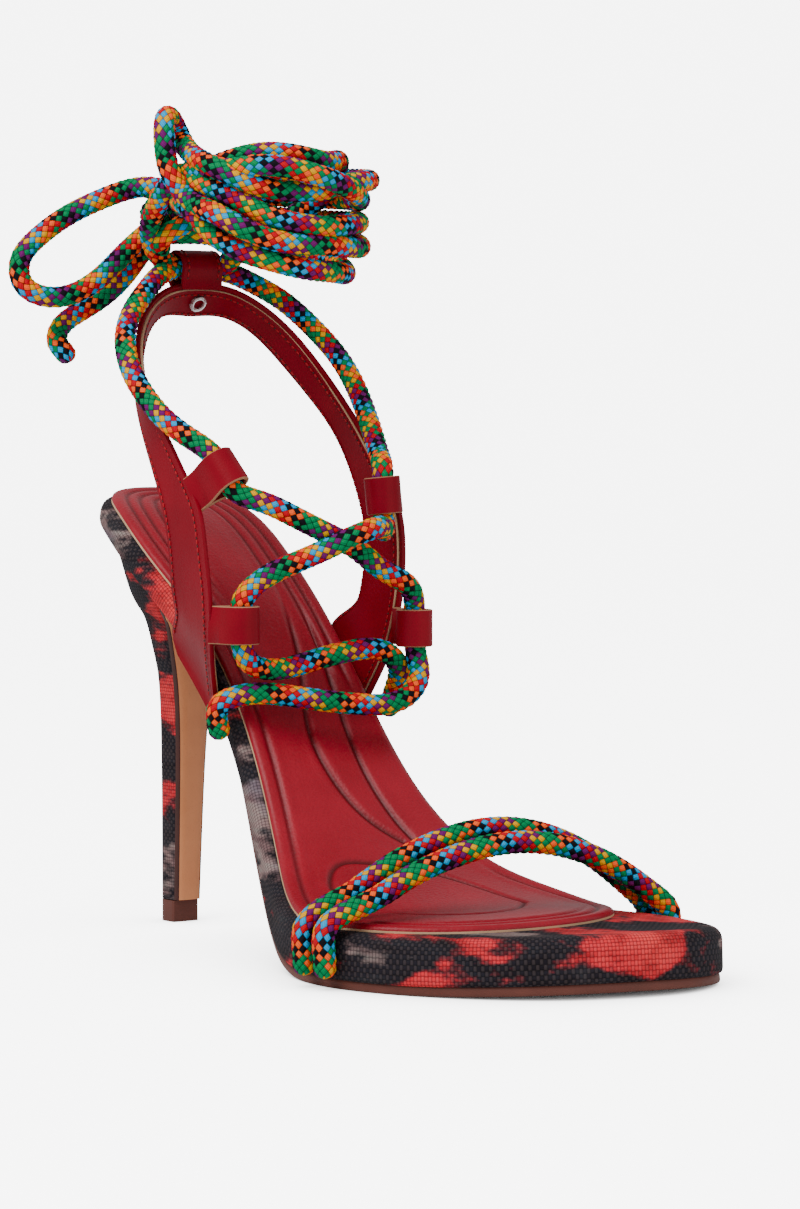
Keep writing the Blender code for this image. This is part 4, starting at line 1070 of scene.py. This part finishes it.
def leather(name, dark, light, rough, pebble, depth, coat=0.0, shine=0.16):
    """Grained leather between two tones."""
    material, tree, shader = new_material(name, rough, shine=shine)
    grain = placed(tree, leather_grain, Scale=1.0 / (pebble * MM))
    tone = stepped(tree, grain["Tone"], [(0.3, dark), (0.7, light)])
    # Painted shade: the colour is darker in the hollows between the pebbles
    painted_grain_shade = stepped(tree, grain["Height"], [(0.0, (0.75, 0.75, 0.75)), (0.45, (1, 1, 1))])
    # Painted shade: the colour is darkened in the sock's moulded grooves, by the strength kept on its points
    wear_and_painted_shade = tree.nodes.new("ShaderNodeAttribute")
    wear_and_painted_shade.attribute_name = "painted_crease_shade"
    deep = stepped(tree, wear_and_painted_shade.outputs["Fac"], [(0.25, (1, 1, 1)), (1.0, (0.3, 0.25, 0.25))])
    tone = blended(tree, 1.0, tone, deep, "MULTIPLY")
    tree.links.new(blended(tree, 1.0, tone, painted_grain_shade, "MULTIPLY"), shader.inputs["Base Color"])
    matt = sum_of(tree, "MULTIPLY", grain["Tone"], MATT_SPREAD)
    matt = sum_of(tree, "ADD", matt, rough - MATT_SPREAD / 2)
    tree.links.new(matt, shader.inputs["Roughness"])
    shader.inputs["Coat Weight"].default_value = coat
    shader.inputs["Coat Roughness"].default_value = 0.3
    raise_surface(tree, shader, grain["Height"], 0.6, depth)
    return material


def rope_material():
    """Multicolour braid: two sets of yarns, each with its list of colours."""
    material, tree, shader = new_material("rope braid", 0.7, shine=0.06)
    where = tree.nodes.new("ShaderNodeTexCoord").outputs["UV"]
    split = tree.nodes.new("ShaderNodeSeparateXYZ")
    tree.links.new(where, split.inputs["Vector"])
    around = sum_of(tree, "MULTIPLY", split.outputs["X"], CARRIERS)
    along = sum_of(tree, "MULTIPLY", split.outputs["Y"], CARRIERS)
    yarns = placed(tree, interlaced, Column=sum_of(tree, "ADD", around, along),
                   Row=sum_of(tree, "SUBTRACT", around, along))
    colours = []
    for count, names in ((yarns["Row"], YARNS_LEFT), (yarns["Column"], YARNS_RIGHT)):
        place = sum_of(tree, "DIVIDE", sum_of(tree, "FLOORED_MODULO", count, CARRIERS), CARRIERS)
        place = sum_of(tree, "ADD", place, 0.5 / CARRIERS)
        stops = [(k / CARRIERS, YARN_COLOURS[label]) for k, label in enumerate(names)]
        colours.append(stepped(tree, place, stops, "CONSTANT"))
    colour = blended(tree, yarns["Over"], *colours)
    shade = stepped(tree, yarns["Height"], [(0.0, (0.12, 0.11, 0.12)), (0.5, (1, 1, 1))])
    colour = blended(tree, 1.0, colour, shade, "MULTIPLY")
    # Painted shade: the colour is darker in the grooves between the strands of each yarn
    lines = stepped(tree, yarns["Strands"], [(0.0, (0.62, 0.62, 0.62)), (0.6, (1, 1, 1))])
    tree.links.new(blended(tree, 1.0, colour, lines, "MULTIPLY"), shader.inputs["Base Color"])
    fluff = speckle(tree, tree.nodes.new("ShaderNodeTexCoord").outputs["Object"], FLUFF, 2.0)
    height = sum_of(tree, "ADD", yarns["Height"], sum_of(tree, "MULTIPLY", fluff, FLUFF_DEPTH))
    height = sum_of(tree, "ADD", height, sum_of(tree, "MULTIPLY", yarns["Strands"], STRAND_DEPTH))
    raise_surface(tree, shader, height, 0.7, 0.35)
    return material


def canvas_material():
    """Coarse canvas with a blotched print in coral, charcoal and taupe."""
    material, tree, shader = new_material("printed canvas", 0.8, shine=0.12)
    coords = tree.nodes.new("ShaderNodeTexCoord")
    split = tree.nodes.new("ShaderNodeSeparateXYZ")
    tree.links.new(coords.outputs["UV"], split.inputs["Vector"])
    yarns = placed(tree, interlaced, Column=sum_of(tree, "DIVIDE", split.outputs["X"], WEAVE),
                   Row=sum_of(tree, "DIVIDE", split.outputs["Y"], WEAVE))
    brushed = tree.nodes.new("ShaderNodeMapping")
    brushed.inputs["Scale"].default_value = PRINT_STRETCH
    brushed.inputs["Location"].default_value = PRINT_SHIFT
    tree.links.new(coords.outputs["Object"], brushed.inputs["Vector"])
    ragged = speckle(tree, brushed.outputs["Vector"], PRINT_SCALE["ragged edges"], 4.0)
    broad = speckle(tree, brushed.outputs["Vector"], PRINT_SCALE["blotches"], 2.0)
    torn = sum_of(tree, "MULTIPLY", sum_of(tree, "SUBTRACT", ragged, 0.5), PRINT_RAGGED)
    edge = sum_of(tree, "ADD", broad, torn)
    length = tree.nodes.new("ShaderNodeSeparateXYZ")
    tree.links.new(coords.outputs["Object"], length.inputs["Vector"])
    edge = sum_of(tree, "ADD", edge, sum_of(tree, "MULTIPLY", length.outputs["X"], PRINT_DRIFT))
    ground = stepped(tree, edge, PRINT_GROUND)
    tones = speckle(tree, brushed.outputs["Vector"], PRINT_SCALE["muted tones"], 2.0)
    muted = stepped(tree, tones, PRINT_MUTED)
    ground = blended(tree, stepped(tree, edge, [(0.375, (1, 1, 1)), (0.42, (0, 0, 0))]), ground, muted)
    second = speckle(tree, brushed.outputs["Vector"], PRINT_SCALE["spots"], 3.0)
    spots = stepped(tree, second, [(0.57, (0, 0, 0)), (0.63, (1, 1, 1))])
    colour = blended(tree, spots, ground, PRINT_SPOT)
    ink = tree.nodes.new("ShaderNodeMapping")
    ink.inputs["Scale"].default_value = INK_STRETCH
    tree.links.new(coords.outputs["Object"], ink.inputs["Vector"])
    streaks = stepped(tree, speckle(tree, ink.outputs["Vector"], PRINT_SCALE["ink"], 4.0), PRINT_INK)
    colour = blended(tree, 1.0, colour, streaks, "MULTIPLY")
    shade = stepped(tree, yarns["Height"], [(0.1, (0.35, 0.33, 0.35)), (0.7, (1, 1, 1))])
    thread = blended(tree, sum_of(tree, "MULTIPLY", yarns["Over"], BARE_SHARE), colour, BARE_THREAD)
    tree.links.new(blended(tree, 1.0, thread, shade, "MULTIPLY"), shader.inputs["Base Color"])
    raise_surface(tree, shader, yarns["Height"], 0.6, 0.25)
    return material


def metal_material():
    """Bright nickel with fine scratches."""
    material, tree, shader = new_material("nickel", 0.25, 1.0)
    where = tree.nodes.new("ShaderNodeTexCoord").outputs["Object"]
    shader.inputs["Base Color"].default_value = (0.74, 0.74, 0.73, 1)
    wear_and_painted_shade = speckle(tree, where, SCRATCHES, 4.0)
    rough = sum_of(tree, "ADD", sum_of(tree, "MULTIPLY", wear_and_painted_shade, NICKEL_WORN), NICKEL_SMOOTH)
    tree.links.new(rough, shader.inputs["Roughness"])
    raise_surface(tree, shader, wear_and_painted_shade, 0.2, 0.05)
    return material


interlaced = interlace_group()
leather_grain = grain_group()
# Each leather: darker and lighter tone, roughness, width of its pebbles, depth of its grain and coat
red_leather = leather("red leather", (0.15, 0.001, 0.007), (0.20, 0.002, 0.010), 0.42, 0.55, 0.06, shine=0.08)
sock_leather = leather("sock leather", (0.21, 0.002, 0.010), (0.27, 0.004, 0.015), 0.45, 0.75, 0.24, 0.12)
tan_leather = leather("tan leather", (0.52, 0.19, 0.08), (0.60, 0.23, 0.10), 0.42, 0.4, 0.02, 0.1)
dark_edge = leather("dark edge", (0.035, 0.014, 0.012), (0.06, 0.02, 0.016), 0.5, 0.4, 0.03)
loop_edge = leather("loop edge", (0.25, 0.11, 0.06), (0.36, 0.18, 0.10), 0.7, 0.3, 0.04)
cut_edge = leather("cut edge", (0.44, 0.27, 0.15), (0.56, 0.37, 0.23), 0.7, 0.3, 0.04)
brown_leather = leather("brown leather", (0.08, 0.025, 0.018), (0.125, 0.038, 0.028), 0.5, 0.5, 0.03)
stitch_thread = leather("stitch thread", (0.27, 0.004, 0.010), (0.36, 0.008, 0.014), 0.6, 0.2, 0.03)
rope_braid = rope_material()
printed_canvas = canvas_material()
nickel = metal_material()


def make_studio():
    """Pale floor, soft light and the camera of the photograph."""
    mesh = bmesh.new()
    bmesh.ops.create_grid(mesh, x_segments=1, y_segments=1, size=FLOOR_REACH)
    data = bpy.data.meshes.new("floor")
    mesh.to_mesh(data)
    mesh.free()
    floor = bpy.data.objects.new("floor", data)
    bpy.context.collection.objects.link(floor)
    material, tree, shader = new_material("floor white", 0.6)
    where = tree.nodes.new("ShaderNodeTexCoord").outputs["Object"]
    tint = stepped(tree, speckle(tree, where, 2.0), [(0.3, (0.90, 0.90, 0.90)), (0.7, (0.93, 0.93, 0.93))])
    tree.links.new(tint, shader.inputs["Base Color"])
    shader.inputs["Emission Color"].default_value = (1, 1, 1, 1)
    seen = tree.nodes.new("ShaderNodeLightPath").outputs["Is Camera Ray"]
    # Painted shadow: the floor's glow is darkened near the shoe
    painted_contact_shadow = tree.nodes.new("ShaderNodeAmbientOcclusion")
    painted_contact_shadow.inputs["Distance"].default_value = CONTACT * MM
    seen = sum_of(tree, "MULTIPLY", seen, painted_contact_shadow.outputs["AO"])
    tree.links.new(sum_of(tree, "MULTIPLY", seen, BACKDROP), shader.inputs["Emission Strength"])
    data.materials.append(material)

    world = bpy.data.worlds.new("studio")
    bpy.context.scene.world = world
    world.use_nodes = True
    sky = world.node_tree.nodes["Background"]
    sky.inputs["Color"].default_value = (1.0, 1.0, 1.0, 1)
    seen = world.node_tree.nodes.new("ShaderNodeLightPath").outputs["Is Camera Ray"]
    glow = sum_of(world.node_tree, "MULTIPLY", seen, BACKDROP + FLOOR_LIT - SKY)
    world.node_tree.links.new(sum_of(world.node_tree, "ADD", glow, SKY), sky.inputs["Strength"])

    back = np.array([np.cos(BEARING) * np.cos(RISE), -np.sin(BEARING) * np.cos(RISE), np.sin(RISE)])
    right = unit(np.cross(-back, (0, 0, 1)))
    up = np.cross(right, -back)
    for name, ((aside, above, ahead), size, power) in LIGHTS.items():
        lamp = bpy.data.lights.new(name, "AREA")
        lamp.size = size
        lamp.energy = power
        place = Vector((AIM - CENTRE) * MM) + Vector(aside * right + above * up + ahead * back)
        light = bpy.data.objects.new(name, lamp)
        light.location = place
        light.rotation_euler = (LIT_AT - place).to_track_quat("-Z", "Y").to_euler()
        bpy.context.collection.objects.link(light)

    lens = bpy.data.cameras.new("camera")
    lens.sensor_fit = "VERTICAL"
    lens.sensor_height = 24.0
    lens.lens = FOCAL * lens.sensor_height
    camera = bpy.data.objects.new("camera", lens)
    camera.location = Vector((AIM + DISTANCE * back - CENTRE) * MM)
    look = Vector(-back + OFF_CENTRE[0] * right + OFF_CENTRE[1] * up)
    camera.rotation_euler = look.to_track_quat("-Z", "Y").to_euler()
    bpy.context.collection.objects.link(camera)
    bpy.context.scene.camera = camera


make_studio()
make_ropes()
wrapped_slab("platform_wrap", printed_canvas, ["platform"], PLATFORM_LAYERS)
wrapped_slab("outsole_leather", brown_leather, ["outsole"], OUTSOLE_LAYERS, OUTSOLE_REAR,
             OUTSOLE_TUCK)
make_sock()
make_heel()
make_upper()
for node, finish in (("heel_tip", brown_leather), ("eyelet", nickel)):
    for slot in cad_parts[node].material_slots:
        slot.material = finish
